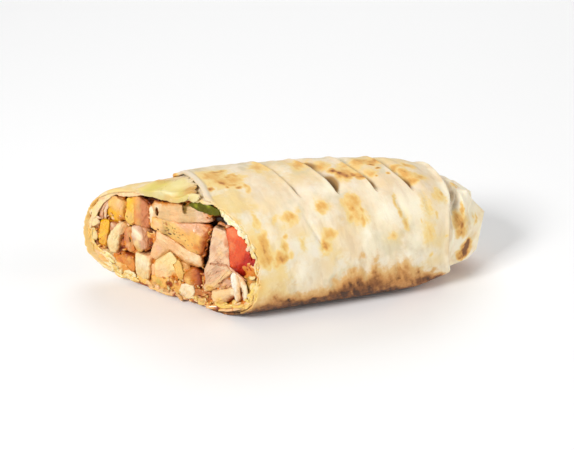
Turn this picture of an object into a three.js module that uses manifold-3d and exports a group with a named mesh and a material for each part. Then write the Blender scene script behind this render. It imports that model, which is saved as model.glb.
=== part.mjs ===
// One half of a shawarma wrap: pressed flatbread rolled round chopped chicken, tomato, cucumber
// and sauce, cut across at a slant, with its far end tucked in.
// Millimetres, +Z up. +X runs along the wrap, from the cut to the tucked end.

import * as THREE from 'three';
import { mergeVertices } from 'three/addons/utils/BufferGeometryUtils.js';
import Module from 'manifold-3d';

const wasm = await Module();
wasm.setup();

// ---- Driving dimensions ---------------------------------------------------------------------

const degrees = Math.PI / 180;

const CUT_ANGLE = 48 * degrees;   // between the cut and the wrap's axis, seen from above
const UPPER_SQUARENESS = 2.35;    // superellipse exponents of the pressed section
const LOWER_SQUARENESS = 2.9;
const PRESSED = 1.5;              // how far the press flattened the underside
const SEGMENTS = 56;              // steps round the bread's outer skin
const CAVITY_SEGMENTS = 32;       // steps round the space inside

// The section along the axis: x is the distance from the middle of the cut.
const STATIONS = [
  { x: -45, halfWidth: 34, top: 40, bottom: 3, middle: 0 },
  { x: -32, halfWidth: 35, top: 44, bottom: 2, middle: 0 },
  { x: -15, halfWidth: 35, top: 49, bottom: 1, middle: 0 },
  { x: 0, halfWidth: 34, top: 51.5, bottom: 0, middle: 0 },
  { x: 16, halfWidth: 33.5, top: 54, bottom: 0, middle: 0 },
  { x: 60, halfWidth: 31.5, top: 53.5, bottom: 0, middle: 0 },
  { x: 85, halfWidth: 30, top: 52, bottom: 0, middle: 0 },
  { x: 100, halfWidth: 28, top: 50, bottom: 0, middle: 0 },
  { x: 112, halfWidth: 25, top: 46, bottom: 2, middle: 0 },
  { x: 122, halfWidth: 22, top: 42, bottom: 4, middle: 1 },
  { x: 131, halfWidth: 17, top: 37, bottom: 7.5, middle: 2 },
  { x: 138, halfWidth: 11, top: 32, bottom: 12, middle: 2 },
  { x: 142, halfWidth: 4, top: 26, bottom: 18, middle: 2 },
];
const TIP = STATIONS.at(-1).x;

// The bread: its outer sheet goes once round over the inner one.
const SHEET = 1.4;                // one layer
const FAR_WALL = 2.8;             // the whole wall, thickest where the layers fold at the far side
const NEAR_WALL = 1.6;
const BOTTOM_WALL = 2.2;
const TOP_WALL = 3.6;             // the wall over the filling, and where it is pressed thin
const THIN_TOP_WALL = 1.6;
const THIN_TOP = { from: 16, to: 34 };
const FLAP_X = 11;                // where the outer sheet starts on the far side
const FLAP_SLANT = 6;             // mm along the axis for each radian round the section
const RING_X = 114;               // where the outer sheet ends
const CAVITY_END = 124;           // the tucked end is folded solid beyond this
const TUCK_WALL = 2.5;            // how much thicker the wall is in the tucked end

// Furrows that the hot press left slantwise over the top.
const FURROWS = [45.5, 61.5, 78, 93.5];
const FURROW_DEPTH = 2.0;
const FURROW_SLANT = 11;          // mm along the axis for each radian round the section
const FURROW_APPROACH = 6;        // length of the gentle side; the other side rises at once

// Two pleats of the tucked end: each steps down towards the tip.
const PLEATS = [
  { x: 124, at: 78 * degrees, slant: 12 },
  { x: 130.5, at: 64 * degrees, slant: 10.5 },
];
const PLEAT_STEP = 1.1;
const TUCK_STEP = 0.8;            // from the outer sheet's edge down to the first pleat

// The filling.
const GAP = 0.3;                  // clearance between neighbours
const CORE_RECESS = 2.6;          // the chopped filling stands this far behind the cut
const CORNER = 1.6;               // rounding of each chunk's corners
const BEVEL = 1.0;                // rounding of its cut face

// ---- The bread's shape ----------------------------------------------------------------------

function signedPower(value, power) {
  return Math.sign(value) * Math.abs(value) ** power;
}

// Cubic interpolation between the stations, without overshoot.
function profile(key, x) {
  const last = STATIONS.length - 1;
  const slope = (i) =>
    (STATIONS[i + 1][key] - STATIONS[i][key]) / (STATIONS[i + 1].x - STATIONS[i].x);
  const tangent = (i) => {
    if (i === 0) return slope(0);
    if (i === last) return slope(last - 1);
    const before = slope(i - 1);
    const after = slope(i);
    return before * after > 0 ? (2 * before * after) / (before + after) : 0;
  };
  let i = 0;
  while (i < last - 1 && x > STATIONS[i + 1].x) i += 1;
  const span = STATIONS[i + 1].x - STATIONS[i].x;
  const t = THREE.MathUtils.clamp((x - STATIONS[i].x) / span, 0, 1);
  const rise = STATIONS[i + 1][key] - STATIONS[i][key];
  const bend = (1 - t) * tangent(i) - t * tangent(i + 1) + (2 * t - 1) * (rise / span);
  return STATIONS[i][key] + t * rise + t * (1 - t) * span * bend;
}

// A point on the section at x. phi is 0 on the near side (-Y), a quarter turn on top and half
// a turn on the far side. The walls say how far in from the bread's nominal skin it lies.
function sectionPoint(x, phi, walls) {
  const side = Math.cos(phi) > 0 ? walls.near : walls.far;
  const halfWidth = Math.max(profile('halfWidth', x) - side, 0.5);
  const top = profile('top', x) - walls.top;
  const bottom = profile('bottom', x) + walls.bottom;
  const squareness = Math.sin(phi) > 0 ? UPPER_SQUARENESS : LOWER_SQUARENESS;
  const across = signedPower(Math.cos(phi), 2 / squareness);
  const up = signedPower(Math.sin(phi), 2 / squareness);
  const reach = up > 0 ? top / 2 : top / 2 + PRESSED;
  const height = Math.max(top / 2 + reach * up, 0);
  const z = bottom + (height * (top - bottom)) / top;
  return new THREE.Vector3(x, profile('middle', x) - halfWidth * across, z);
}

// A relief is full over the top, and nothing reaches the pressed underside.
function overTop(phi) {
  return THREE.MathUtils.smoothstep(Math.sin(phi), 0.82, 0.98);
}

function offUnderside(phi) {
  return THREE.MathUtils.smoothstep(Math.sin(phi), -0.85, -0.35);
}

// What crosses the top slants: it lies further along the axis on the near side.
function slanted(slant, phi) {
  return slant * THREE.MathUtils.clamp(Math.PI / 2 - phi, -0.6, 0.6);
}

// Depth of the tucked end: each pleat ends in a tongue-shaped edge that steps down to the tip.
function tuckDepth(x, phi) {
  return PLEATS.reduce((depth, pleat) => {
    const edge = Math.max(pleat.x - pleat.slant * Math.abs(phi - pleat.at), RING_X + 2.5);
    return depth + PLEAT_STEP * THREE.MathUtils.smoothstep(x, edge - 1.5, edge + 1.5);
  }, TUCK_STEP);
}

// How far the flap's edge leaves the inner sheet bare: over the top and on the far side only.
function bareSheet(phi) {
  return THREE.MathUtils.smoothstep(phi, 50 * degrees, 66 * degrees) * offUnderside(phi);
}

// The rings of the outer skin from the cut to the tip: where each lies along the axis, and how
// deep under the nominal skin, both as functions of phi.
function skinRings() {
  const rings = [];
  const ring = (x, depth, slant = 0) => {
    rings.push({ x: (phi) => x + slanted(slant, phi), depth });
  };
  const bare = (phi) => SHEET * bareSheet(phi);
  const flush = () => 0;
  [-45, -36, -27, -18, -9, 1].forEach((x) => ring(x, bare));
  ring(FLAP_X, bare, FLAP_SLANT);
  ring(FLAP_X + 0.8, flush, FLAP_SLANT);
  FURROWS.forEach((furrow, i) => {
    const previous = i > 0 ? FURROWS[i - 1] : FLAP_X + 2;
    const groove = (x, depth) => ring(x, (phi) => depth * overTop(phi), FURROW_SLANT);
    groove((previous + furrow - FURROW_APPROACH) / 2 + 1, -0.7);
    groove(furrow - FURROW_APPROACH, -0.4);
    groove(furrow - FURROW_APPROACH / 2, FURROW_DEPTH * 0.4);
    groove(furrow, FURROW_DEPTH);
    groove(furrow + 1.3, 0);
  });
  ring(RING_X - 8, flush);
  ring(RING_X, flush);
  [RING_X + 0.8, 118, 121, 124, 127, 130, 133, 136, 139, 141, TIP].forEach((x) => {
    ring(x, (phi) => tuckDepth(x, phi) * offUnderside(phi));
  });
  return rings;
}

// ---- Solids ---------------------------------------------------------------------------------

// A closed body through loops of points, all with the same number, with a flat or pointed cap
// on each end.
function loftGeometry(loops) {
  const count = loops[0].length;
  const positions = [];
  const indices = [];
  const centreOf = (loop) =>
    loop.reduce((sum, point) => sum.add(point), new THREE.Vector3()).divideScalar(loop.length);
  loops.flat().forEach((point) => positions.push(point.x, point.y, point.z));
  for (let ring = 0; ring < loops.length - 1; ring += 1) {
    for (let i = 0; i < count; i += 1) {
      const a = ring * count + i;
      const b = ring * count + ((i + 1) % count);
      indices.push(a, b, b + count, a, b + count, a + count);
    }
  }
  [0, loops.length - 1].forEach((ring) => {
    const centre = centreOf(loops[ring]);
    const hub = positions.length / 3;
    positions.push(centre.x, centre.y, centre.z);
    for (let i = 0; i < count; i += 1) {
      const a = ring * count + i;
      const b = ring * count + ((i + 1) % count);
      if (ring === 0) indices.push(hub, b, a);
      else indices.push(hub, a, b);
    }
  });
  const geometry = new THREE.BufferGeometry();
  geometry.setAttribute('position', new THREE.Float32BufferAttribute(positions, 3));
  geometry.setIndex(indices);
  return geometry;
}

function signedVolume(geometry) {
  const { position } = geometry.attributes;
  const corner = (i) => new THREE.Vector3().fromBufferAttribute(position, geometry.index.getX(i));
  let volume = 0;
  for (let i = 0; i < geometry.index.count; i += 3) {
    volume += corner(i).dot(corner(i + 1).cross(corner(i + 2))) / 6;
  }
  return volume;
}

function toSolid(source) {
  const geometry = source.clone();
  geometry.deleteAttribute('normal');
  geometry.deleteAttribute('uv');
  const merged = mergeVertices(geometry, 1e-4);
  const triVerts = new Uint32Array(merged.index.array);
  if (signedVolume(merged) < 0) triVerts.reverse();
  return new wasm.Manifold(new wasm.Mesh({
    numProp: 3,
    vertProperties: new Float32Array(merged.attributes.position.array),
    triVerts,
  }));
}

function toGeometry(solid) {
  const { numProp, vertProperties, triVerts } = solid.getMesh();
  const positions = [];
  for (let i = 0; i < vertProperties.length; i += numProp) {
    positions.push(vertProperties[i], vertProperties[i + 1], vertProperties[i + 2]);
  }
  const geometry = new THREE.BufferGeometry();
  geometry.setAttribute('position', new THREE.Float32BufferAttribute(positions, 3));
  geometry.setIndex(Array.from(triVerts));
  geometry.computeVertexNormals();
  return geometry;
}

// ---- The cut --------------------------------------------------------------------------------

// Across the cut face, from the far edge to the near one.
const CUT_ACROSS = new THREE.Vector3(Math.cos(CUT_ANGLE), -Math.sin(CUT_ANGLE), 0);

// The half-space behind the cut, starting so far behind it.
function behindCut(recess) {
  const size = 400;
  const block = new THREE.BoxGeometry(size, size, size);
  block.translate(size / 2 + recess, 0, 0);
  block.rotateZ(Math.PI / 2 - CUT_ANGLE);
  return toSolid(block);
}

function evenWalls(depth) {
  return { near: depth, far: depth, top: depth, bottom: depth };
}

function cavity(inset) {
  const { from, to } = THIN_TOP;
  const stations = [-44, -22, -6, from - 5, from, to, to + 6, 60, 85, 100, 108, CAVITY_END - inset];
  return toSolid(loftGeometry(stations.map((x) => {
    const extra = inset + TUCK_WALL * THREE.MathUtils.smoothstep(x, 85, 108);
    const topWall = x >= from && x <= to ? THIN_TOP_WALL : TOP_WALL;
    const walls = {
      near: NEAR_WALL + extra,
      far: FAR_WALL + extra,
      top: topWall + extra,
      bottom: BOTTOM_WALL + extra,
    };
    return Array.from({ length: CAVITY_SEGMENTS }, (_, i) =>
      sectionPoint(x, (i / CAVITY_SEGMENTS) * 2 * Math.PI, walls));
  })));
}

function flatbread() {
  const skin = loftGeometry(skinRings().map((ring) =>
    Array.from({ length: SEGMENTS }, (_, i) => {
      const phi = (i / SEGMENTS) * 2 * Math.PI - Math.PI / 2;
      return sectionPoint(ring.x(phi), phi, evenWalls(ring.depth(phi)));
    })));
  return toSolid(skin).subtract(cavity(0)).intersect(behindCut(0));
}

// ---- The filling ----------------------------------------------------------------------------

// Each piece that shows at the cut: how far it stands out of the chopped filling, how far it
// runs in along the wrap, and its corners on the cut face, as the distance across from the
// middle (far edge negative) and the height.
const PIECES = {
  chicken_01: { proud: 1.6, length: 16, corners: [[-33, 38], [-25, 40], [-22, 36.5], [-24.5, 31.5], [-32, 30.5]] },
  chicken_02: { proud: 2.4, length: 20, corners: [[-21, 43.5], [-14, 44], [-10.7, 40], [-10.7, 31.5], [-20.5, 30.5]] },
  chicken_03: { proud: 2.2, length: 24, corners: [[-9.5, 38.2], [-8.5, 44], [2, 44.5], [14, 47], [21.5, 45], [21.5, 42.5], [3, 38.2]] },
  chicken_04: { proud: 2.6, length: 26, corners: [[-9.6, 36.6], [4, 37.2], [19.5, 40.2], [20, 36], [16.5, 26.4], [-1, 31.4], [-9.5, 32]] },
  chicken_05: { proud: 2.0, length: 22, corners: [[-6, 30.5], [-1, 30.2], [15.5, 25.2], [15.5, 20.5], [9.5, 20.4], [-1.2, 24.2], [-8.3, 17.6], [-9.4, 20]] },
  chicken_06: { proud: 2.2, length: 18, corners: [[-18.5, 29.3], [-7.8, 29.8], [-8.2, 25.4], [-16.5, 18], [-19, 22.5]] },
  chicken_07: { proud: 2.0, length: 18, corners: [[-30, 30], [-25.5, 30], [-26, 21], [-28, 13.4], [-33.5, 13.4], [-33.5, 18.5]] },
  chicken_08: { proud: 1.4, length: 14, corners: [[-24.5, 28.5], [-20.4, 28.5], [-20, 17], [-25.5, 17], [-25, 22]] },
  chicken_09: { proud: 2.0, length: 18, corners: [[-18, 17.2], [-11.6, 17.4], [-10.6, 12], [-11.6, 5.4], [-18, 5.8], [-19.2, 12]] },
  chicken_10: { proud: 1.8, length: 20, corners: [[-8.4, 16.6], [-1.2, 22.8], [1.6, 19], [4, 12], [2.6, 9.4], [-7, 9.4], [-9.4, 12.6]] },
  chicken_11: { proud: 1.2, length: 14, corners: [[2.2, 20.2], [4.4, 20.2], [9.4, 17], [7.4, 9.4], [5, 9.4], [4.6, 13]] },
  chicken_12: { proud: 1.8, length: 16, corners: [[10.4, 17], [15.2, 18.8], [16.8, 15.6], [14.4, 11.2], [9, 9.8]] },
  chicken_13: { proud: 1.4, length: 14, corners: [[6, 8.8], [12.8, 9.6], [12.6, 4], [6.4, 4]] },
  chicken_14: { proud: 2.6, length: 24, corners: [[22.2, 40.6], [28, 39.6], [28.6, 30], [30.6, 23.2], [25, 15], [19.4, 13], [17.4, 17], [18.6, 22], [20.6, 30]] },
  chicken_15: { proud: 1.8, length: 18, corners: [[20.4, 11.4], [27, 14.2], [31, 12.4], [31.4, 8], [25, 5], [20, 5.6]] },
  chicken_16: { proud: 1.2, length: 12, corners: [[-30, 11.6], [-20.6, 15.6], [-20.2, 8], [-23, 5.4], [-30, 6.8]] },
  tomato: { proud: 2.4, length: 24, corners: [[29.3, 42], [33.4, 43], [37, 39.6], [41, 32.6], [41.4, 26.6], [39.4, 22.4], [35.4, 22.4], [31.6, 24], [29.4, 30.6]] },
  cucumber: { proud: 1.6, length: 20, corners: [[11, 48.8], [15.6, 47.6], [23, 46.2], [27, 45.4], [26.6, 47.4], [20, 50]] },
  onion_01: { proud: 1.4, length: 20, corners: [[30.6, 22.2], [33.6, 21.6], [34.6, 16], [35.6, 10], [32.8, 9.2], [31.6, 15]] },
  onion_02: { proud: 1.2, length: 20, corners: [[34.6, 21.4], [37, 21.2], [38.8, 16], [38.8, 11], [36.6, 10.6], [36, 16]] },
  pepper: { proud: 1.6, length: 16, corners: [[-40, 28], [-35, 29.8], [-33, 24], [-34.6, 17.4], [-36, 14.6], [-40, 18]] },
  lettuce_01: { proud: 1.0, length: 22, corners: [[-39, 11.4], [-31.4, 12.2], [-30.8, 5.4], [-35, 5.4], [-38.4, 8]] },
};

// A crumpled lettuce leaf lies on the bare inner sheet, between the cut and the flap's edge.
const LEAF = { near: 84 * degrees, far: 112 * degrees, margin: 1.0, proud: 0.9, crumple: 0.5 };

// The corners as an outline with each one rounded off.
function roundedOutline(corners) {
  const points = corners.map(([across, up]) => new THREE.Vector2(across, up));
  if (THREE.ShapeUtils.area(points) < 0) points.reverse();
  return points.flatMap((corner, i) => {
    const before = points.at(i - 1).clone().sub(corner);
    const after = points[(i + 1) % points.length].clone().sub(corner);
    const start = corner.clone().addScaledVector(before, Math.min(CORNER / before.length(), 0.4));
    const end = corner.clone().addScaledVector(after, Math.min(CORNER / after.length(), 0.4));
    return [start, end];
  });
}

// The outline moved out by a margin, or in by a negative one.
function offsetOutline(outline, margin) {
  return outline.map((point, i) => {
    const before = point.clone().sub(outline.at(i - 1)).normalize();
    const after = outline[(i + 1) % outline.length].clone().sub(point).normalize();
    const normal = new THREE.Vector2(before.y + after.y, -before.x - after.x).normalize();
    const miter = Math.max(normal.dot(new THREE.Vector2(after.y, -after.x)), 0.5);
    return point.clone().addScaledVector(normal, margin / miter);
  });
}

// A point of the cut face, moved along the wrap.
function fromCutFace(point, along) {
  return new THREE.Vector3(along, 0, point.y).addScaledVector(CUT_ACROSS, point.x);
}

function perimeter(outline) {
  return outline.reduce((sum, point, i) => sum + point.distanceTo(outline.at(i - 1)), 0);
}

// A loft along the wrap through slices of one outline, each inset by so much.
function alongWrap(outline, slices) {
  return toSolid(loftGeometry(slices.map(({ inset, along }) =>
    offsetOutline(outline, -inset).map((point) => fromCutFace(point, along)))));
}

// A piece runs into the wrap from its cut face, with rounded ends.
function pieceSolid({ corners, proud, length }) {
  const outline = roundedOutline(corners);
  const bevel = Math.min(BEVEL, (0.5 * THREE.ShapeUtils.area(outline)) / perimeter(outline));
  const start = (CORE_RECESS - proud) / Math.sin(CUT_ANGLE);
  return alongWrap(outline, [
    { inset: bevel, along: start },
    { inset: 0, along: start + bevel },
    { inset: 0, along: start + length * 0.7 },
    { inset: bevel, along: start + length },
  ]).intersect(cavity(GAP));
}

// The space that a piece takes out of the chopped filling, open at the cut.
function pocketSolid({ corners, proud, length }) {
  const start = (CORE_RECESS - proud) / Math.sin(CUT_ANGLE);
  return alongWrap(roundedOutline(corners), [
    { inset: -GAP, along: start - 10 },
    { inset: -GAP, along: start + length + GAP },
  ]);
}

// The chopped filling round the pieces. Slivers cut off between them are dropped.
function filling() {
  const pockets = Object.values(PIECES).map(pocketSolid);
  const core = cavity(GAP).intersect(behindCut(CORE_RECESS));
  const cut = pockets.reduce((solid, pocket) => solid.subtract(pocket), core);
  return cut.decompose().sort((a, b) => b.numTri() - a.numTri())[0];
}

// Where the cut meets the skin at phi, as a place along the axis.
function rimX(phi) {
  let x = 0;
  for (let step = 0; step < 12; step += 1) {
    x = -sectionPoint(x, phi, evenWalls(SHEET)).y / Math.tan(CUT_ANGLE);
  }
  return x;
}

function leaf() {
  const steps = 7;
  const point = (u, v, upper) => {
    const phi = THREE.MathUtils.lerp(LEAF.near, LEAF.far, v);
    const start = rimX(phi) + LEAF.margin;
    const end = FLAP_X + slanted(FLAP_SLANT, phi) - GAP * 2;
    const crumple = LEAF.crumple * Math.sin(9 * u + 4 * v) * Math.cos(7 * v - 2 * u);
    const depth = upper ? -LEAF.proud * Math.sin(Math.PI * v) - crumple : SHEET - GAP;
    return sectionPoint(THREE.MathUtils.lerp(start, end, u), phi, evenWalls(depth));
  };
  const fractions = Array.from({ length: steps + 1 }, (_, i) => i / steps);
  return toSolid(loftGeometry(fractions.map((u) => [
    ...fractions.map((v) => point(u, v, true)),
    ...fractions.map((v) => point(u, 1 - v, false)),
  ])));
}

// ---- Materials ------------------------------------------------------------------------------

function finish(color, roughness) {
  return new THREE.MeshStandardMaterial({ color, roughness, metalness: 0 });
}

const MATERIALS = {
  flatbread: finish(0xeadcc0, 0.85),
  filling: finish(0xd9a565, 0.5),
  chicken: finish(0xe6bd94, 0.5),
  tomato: finish(0xe05c3c, 0.3),
  cucumber: finish(0x5f8a2e, 0.4),
  onion: finish(0xf2e8d6, 0.35),
  pepper: finish(0xf0a82c, 0.35),
  lettuce: finish(0xdcc964, 0.45),
};

// ---- The wrap -------------------------------------------------------------------------------

const wrap = new THREE.Group();

function addPart(name, geometry) {
  const mesh = new THREE.Mesh(geometry, MATERIALS[name.split('_')[0]]);
  mesh.name = name;
  wrap.add(mesh);
}

addPart('flatbread', toGeometry(flatbread()));
addPart('filling', toGeometry(filling()));
Object.entries(PIECES).forEach(([name, piece]) => {
  addPart(name, toGeometry(pieceSolid(piece)));
});
addPart('lettuce_02', toGeometry(leaf()));

// The origin is the middle of the wrap's underside.
const extent = new THREE.Box3().setFromObject(wrap);
const middle = extent.getCenter(new THREE.Vector3());
wrap.position.set(-middle.x, -middle.y, -extent.min.z);

export default wrap;
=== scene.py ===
"""The looks of a halved shawarma wrap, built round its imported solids.

Lengths inside the script are millimetres in the wrap's own coordinates: x runs along the wrap
from the middle of the cut, y to the far side and z up. to_frame() turns them into the frame.
"""

import math

import bpy
import numpy as np
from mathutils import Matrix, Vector


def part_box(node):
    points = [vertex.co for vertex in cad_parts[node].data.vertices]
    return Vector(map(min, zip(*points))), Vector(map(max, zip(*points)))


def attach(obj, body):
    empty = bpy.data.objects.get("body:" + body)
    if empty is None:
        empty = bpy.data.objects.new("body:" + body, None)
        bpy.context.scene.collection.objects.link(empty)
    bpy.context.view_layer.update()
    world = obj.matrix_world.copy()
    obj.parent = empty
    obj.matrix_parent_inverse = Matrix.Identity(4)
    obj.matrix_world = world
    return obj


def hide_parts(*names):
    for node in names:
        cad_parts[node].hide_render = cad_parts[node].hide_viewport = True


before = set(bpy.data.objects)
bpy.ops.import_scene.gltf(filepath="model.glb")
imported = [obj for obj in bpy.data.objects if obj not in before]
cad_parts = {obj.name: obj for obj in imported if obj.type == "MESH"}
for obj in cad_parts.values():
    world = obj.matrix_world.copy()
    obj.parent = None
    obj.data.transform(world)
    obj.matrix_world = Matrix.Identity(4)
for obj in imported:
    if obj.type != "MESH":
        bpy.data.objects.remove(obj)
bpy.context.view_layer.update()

# ---- Driving dimensions, as in the solids ---------------------------------------------------

CUT_ANGLE = math.radians(48)
UPPER_SQUARENESS = 2.35
LOWER_SQUARENESS = 2.9
PRESSED = 1.5

# Distance from the middle of the cut, half width, top, bottom, sideways middle.
STATIONS = np.array([
    (-45, 34, 40, 3, 0),
    (-32, 35, 44, 2, 0),
    (-15, 35, 49, 1, 0),
    (0, 34, 51.5, 0, 0),
    (16, 33.5, 54, 0, 0),
    (60, 31.5, 53.5, 0, 0),
    (85, 30, 52, 0, 0),
    (100, 28, 50, 0, 0),
    (112, 25, 46, 2, 0),
    (122, 22, 42, 4, 1),
    (131, 17, 37, 7.5, 2),
    (138, 11, 32, 12, 2),
    (142, 4, 26, 18, 2),
], float)
HALF_WIDTH, TOP, BOTTOM, MIDDLE = 1, 2, 3, 4        # the stations' columns
TIP = STATIONS[-1, 0]

FAR_WALL, NEAR_WALL, BOTTOM_WALL, TOP_WALL, THIN_TOP_WALL = 2.8, 1.6, 2.2, 3.6, 1.6
THIN_TOP = (16, 34)
FLAP_X = 11
FLAP_SLANT = 6
RING_X = 114
RIM_SAG, RIM_SAG_REACH = 2.5, 4.5
# Where the far side's edge stands back from the knife's plane, or over it: how far round, over
# how much and how far.
RIM_SHIFTS = ((2.9, 0.2, 0.9), (3.6, 0.28, -1.1))
UNDER_SHIFT = 2.2

FURROWS = (45.5, 61.5, 78, 93.5)
FURROW_DEPTHS = (1.2, 3.0, 3.0, 3.0)
FURROW_SLANT = 11
FURROW_LENGTH = 7.5       # from a furrow's crest to where the bread is level again
CREST_HEIGHT, CREST_WIDTH = 0.6, 1.2
CLEAR_OF_FURROWS = 4      # how far the layers under the outer sheet keep down

PLEATS = ((124, math.radians(78), 12), (130.5, math.radians(64), 10.5))
PLEAT_STEP = 1.1
TUCK_STEP = 0.8

# The filling's core starts this far behind the cut and ends this far along the wrap.
CORE_BEHIND = 2.9
CORE_END = 104

CAMERA_PLACE = np.array([-90.2, -524.0, 310])
CAMERA_HEADING = math.radians(-15)
CAMERA_PITCH = math.radians(27.4)
FOCAL_SHARE = 2.5261324           # focal length over the picture's width
SENSOR_WIDTH = 36

# The frame's origin, in the wrap's own coordinates: the tip is the frame's furthest point in x,
# and in y the origin is the middle of the solids' width.
bread_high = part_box("flatbread")[1]
SOLIDS_MIDDLE_Y = 0.397
ORIGIN = np.array([TIP - bread_high.x * 1000, SOLIDS_MIDDLE_Y, 0.0])


def to_frame(points):
    return (np.asarray(points) - ORIGIN) / 1000


# ---- Numbers --------------------------------------------------------------------------------

def smoothstep(value, low, high):
    t = np.clip((value - low) / (high - low), 0, 1)
    return t * t * (3 - 2 * t)


def between(value, start, full, fading, end):
    """1 from full to fading, and 0 before start and after end."""
    return smoothstep(value, start, full) * (1 - smoothstep(value, fading, end))


def mix(a, b, t):
    return a + (b - a) * t


def run_lengths(points):
    """Distance along a line of points, from the first to each of them."""
    return np.concatenate([[0], np.cumsum(np.linalg.norm(np.diff(points, axis=0), axis=1))])


def signed_power(value, power):
    return np.sign(value) * np.abs(value) ** power


def lattice(cell, seed):
    """A number from 0 to 1 for each cell of whole numbers."""
    prime = np.array([374761393, 668265263, 2246822519], np.int64)
    h = (cell * prime).sum(-1) + seed * 3266489917
    h = (h ^ (h >> 15)) & 0xFFFFFFFF
    h = (h * 2654435761) & 0xFFFFFFFF
    h = (h ^ (h >> 13)) & 0xFFFFFFFF
    h = (h * 1274126177) & 0xFFFFFFFF
    return ((h ^ (h >> 16)) & 0xFFFFFF) / 0xFFFFFF


def noise(points, size, seed=0):
    """Smooth noise from -1 to 1, with features of that size."""
    q = points / size
    cell = np.floor(q).astype(np.int64)
    f = q - cell
    f = f * f * f * (f * (f * 6 - 15) + 10)
    total = 0
    for dx in (0, 1):
        for dy in (0, 1):
            for dz in (0, 1):
                step = np.array([dx, dy, dz])
                weight = np.prod(np.where(step == 1, f, 1 - f), axis=-1)
                total = total + weight * lattice(cell + step, seed)
    return total * 2 - 1


def fractal(points, size, octaves=3, seed=0, gain=0.5):
    total, weight = 0, 1
    for octave in range(octaves):
        total = total + weight * noise(points, size / 2 ** octave, seed + 17 * octave)
        weight *= gain
    return total


# ---- The bread's section --------------------------------------------------------------------

def profile(column, x):
    """Cubic interpolation between the stations, without overshoot, as in the solids."""
    xs, ys = STATIONS[:, 0], STATIONS[:, column]
    slopes = np.diff(ys) / np.diff(xs)
    before, after = slopes[:-1], slopes[1:]
    same = before * after > 0
    inner = np.where(same, 2 * before * after / np.where(same, before + after, 1), 0)
    tangents = np.concatenate([slopes[:1], inner, slopes[-1:]])
    i = np.clip(np.searchsorted(xs, x, side="right") - 1, 0, len(xs) - 2)
    span = xs[i + 1] - xs[i]
    t = np.clip((x - xs[i]) / span, 0, 1)
    rise = ys[i + 1] - ys[i]
    bend = (1 - t) * tangents[i] - t * tangents[i + 1] + (2 * t - 1) * (rise / span)
    return ys[i] + t * rise + t * (1 - t) * span * bend


def top_wall(x):
    start, end = THIN_TOP
    return mix(TOP_WALL, THIN_TOP_WALL, between(x, start - 5, start, end, end + 6))


def section(x, phi, depth=0.0, fraction=0.0):
    """Points at that depth under the nominal skin, plus that fraction of the wall.

    phi is 0 on the near side, a quarter turn on top and half a turn on the far side.
    """
    x, phi = np.broadcast_arrays(np.asarray(x, float), np.asarray(phi, float))
    c, s = np.cos(phi), np.sin(phi)
    side = depth + fraction * np.where(c > 0, NEAR_WALL, FAR_WALL)
    half_width = np.maximum(profile(HALF_WIDTH, x) - side, 0.5)
    top = profile(TOP, x) - depth - fraction * top_wall(x)
    bottom = profile(BOTTOM, x) + depth + fraction * BOTTOM_WALL
    power = 2 / np.where(s > 0, UPPER_SQUARENESS, LOWER_SQUARENESS)
    up = signed_power(s, power)
    reach = np.where(up > 0, top / 2, top / 2 + PRESSED)
    height = np.maximum(top / 2 + reach * up, 0)
    z = bottom + height * (top - bottom) / top
    y = profile(MIDDLE, x) - half_width * signed_power(c, power)
    return np.stack([x, y, z], -1)


def kept_inside(points, share):
    """Points moved in where they lie further out than that share of the bread's wall."""
    x, y, z = points.T
    half = profile(HALF_WIDTH, x) - share * np.where(y < profile(MIDDLE, x), NEAR_WALL, FAR_WALL)
    top = profile(TOP, x) - share * top_wall(x)
    bottom = profile(BOTTOM, x) + share * BOTTOM_WALL
    height = (z - bottom) * top / (top - bottom)
    reach = np.where(height > top / 2, top / 2, top / 2 + PRESSED)
    up, side = (height - top / 2) / reach, (y - profile(MIDDLE, x)) / half
    power = np.where(up > 0, UPPER_SQUARENESS, LOWER_SQUARENESS)
    over = np.maximum((np.abs(side) ** power + np.abs(up) ** power) ** (1 / power), 1)
    height = np.maximum(top / 2 + reach * up / over, 0)
    z = bottom + height * (top - bottom) / top
    return np.stack([x, profile(MIDDLE, x) + half * side / over, z], -1)


def lining(phi):
    """The share of the wall that the bread takes at the cut; filling presses into the rest."""
    up, across = np.sin(phi), np.cos(phi)
    share = mix(0.62, 0.95, smoothstep(up, 0.55, 0.85))
    return np.where(across > 0, np.maximum(share, 0.85), share)


MEASURED_X = 60         # where distances round the section are measured


def even_phi(count):
    """Angles that lie evenly along the section, starting underneath."""
    fine = np.linspace(-math.pi / 2, 1.5 * math.pi, 4001)
    arc = run_lengths(section(MEASURED_X, fine))
    return np.interp(np.linspace(0, arc[-1], count, endpoint=False), arc, fine)


def arc_of(phi):
    """Distance round the section from the middle of the near side, in mm."""
    fine = np.linspace(-math.pi, 2 * math.pi, 6001)
    arc = run_lengths(section(MEASURED_X, fine))
    return np.interp(phi, fine, arc) - np.interp(0, fine, arc)


def arc_at(degrees):
    return arc_of(math.radians(degrees))


def rim_x(phi, fraction=0.0):
    """Where the cut meets the bread."""
    x = np.zeros_like(phi)
    for _ in range(14):
        x = -section(x, phi, 0, fraction)[..., 1] / math.tan(CUT_ANGLE)
    return x


def cut_place(points):
    """Across the cut from its middle to the near side, behind the cut, and height."""
    c, s = math.cos(CUT_ANGLE), math.sin(CUT_ANGLE)
    x, y, z = points[..., 0], points[..., 1], points[..., 2]
    return np.stack([x * c - y * s, x * s + y * c, z], -1)


def from_cut(places):
    c, s = math.cos(CUT_ANGLE), math.sin(CUT_ANGLE)
    across, behind, z = places[..., 0], places[..., 1], places[..., 2]
    return np.stack([across * c + behind * s, behind * c - across * s, z], -1)


# ---- The bread's relief ---------------------------------------------------------------------

def over_top(phi):
    return smoothstep(np.sin(phi), 0.83, 0.925)


def off_underside(phi):
    return smoothstep(np.sin(phi), -0.85, -0.35)


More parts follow.
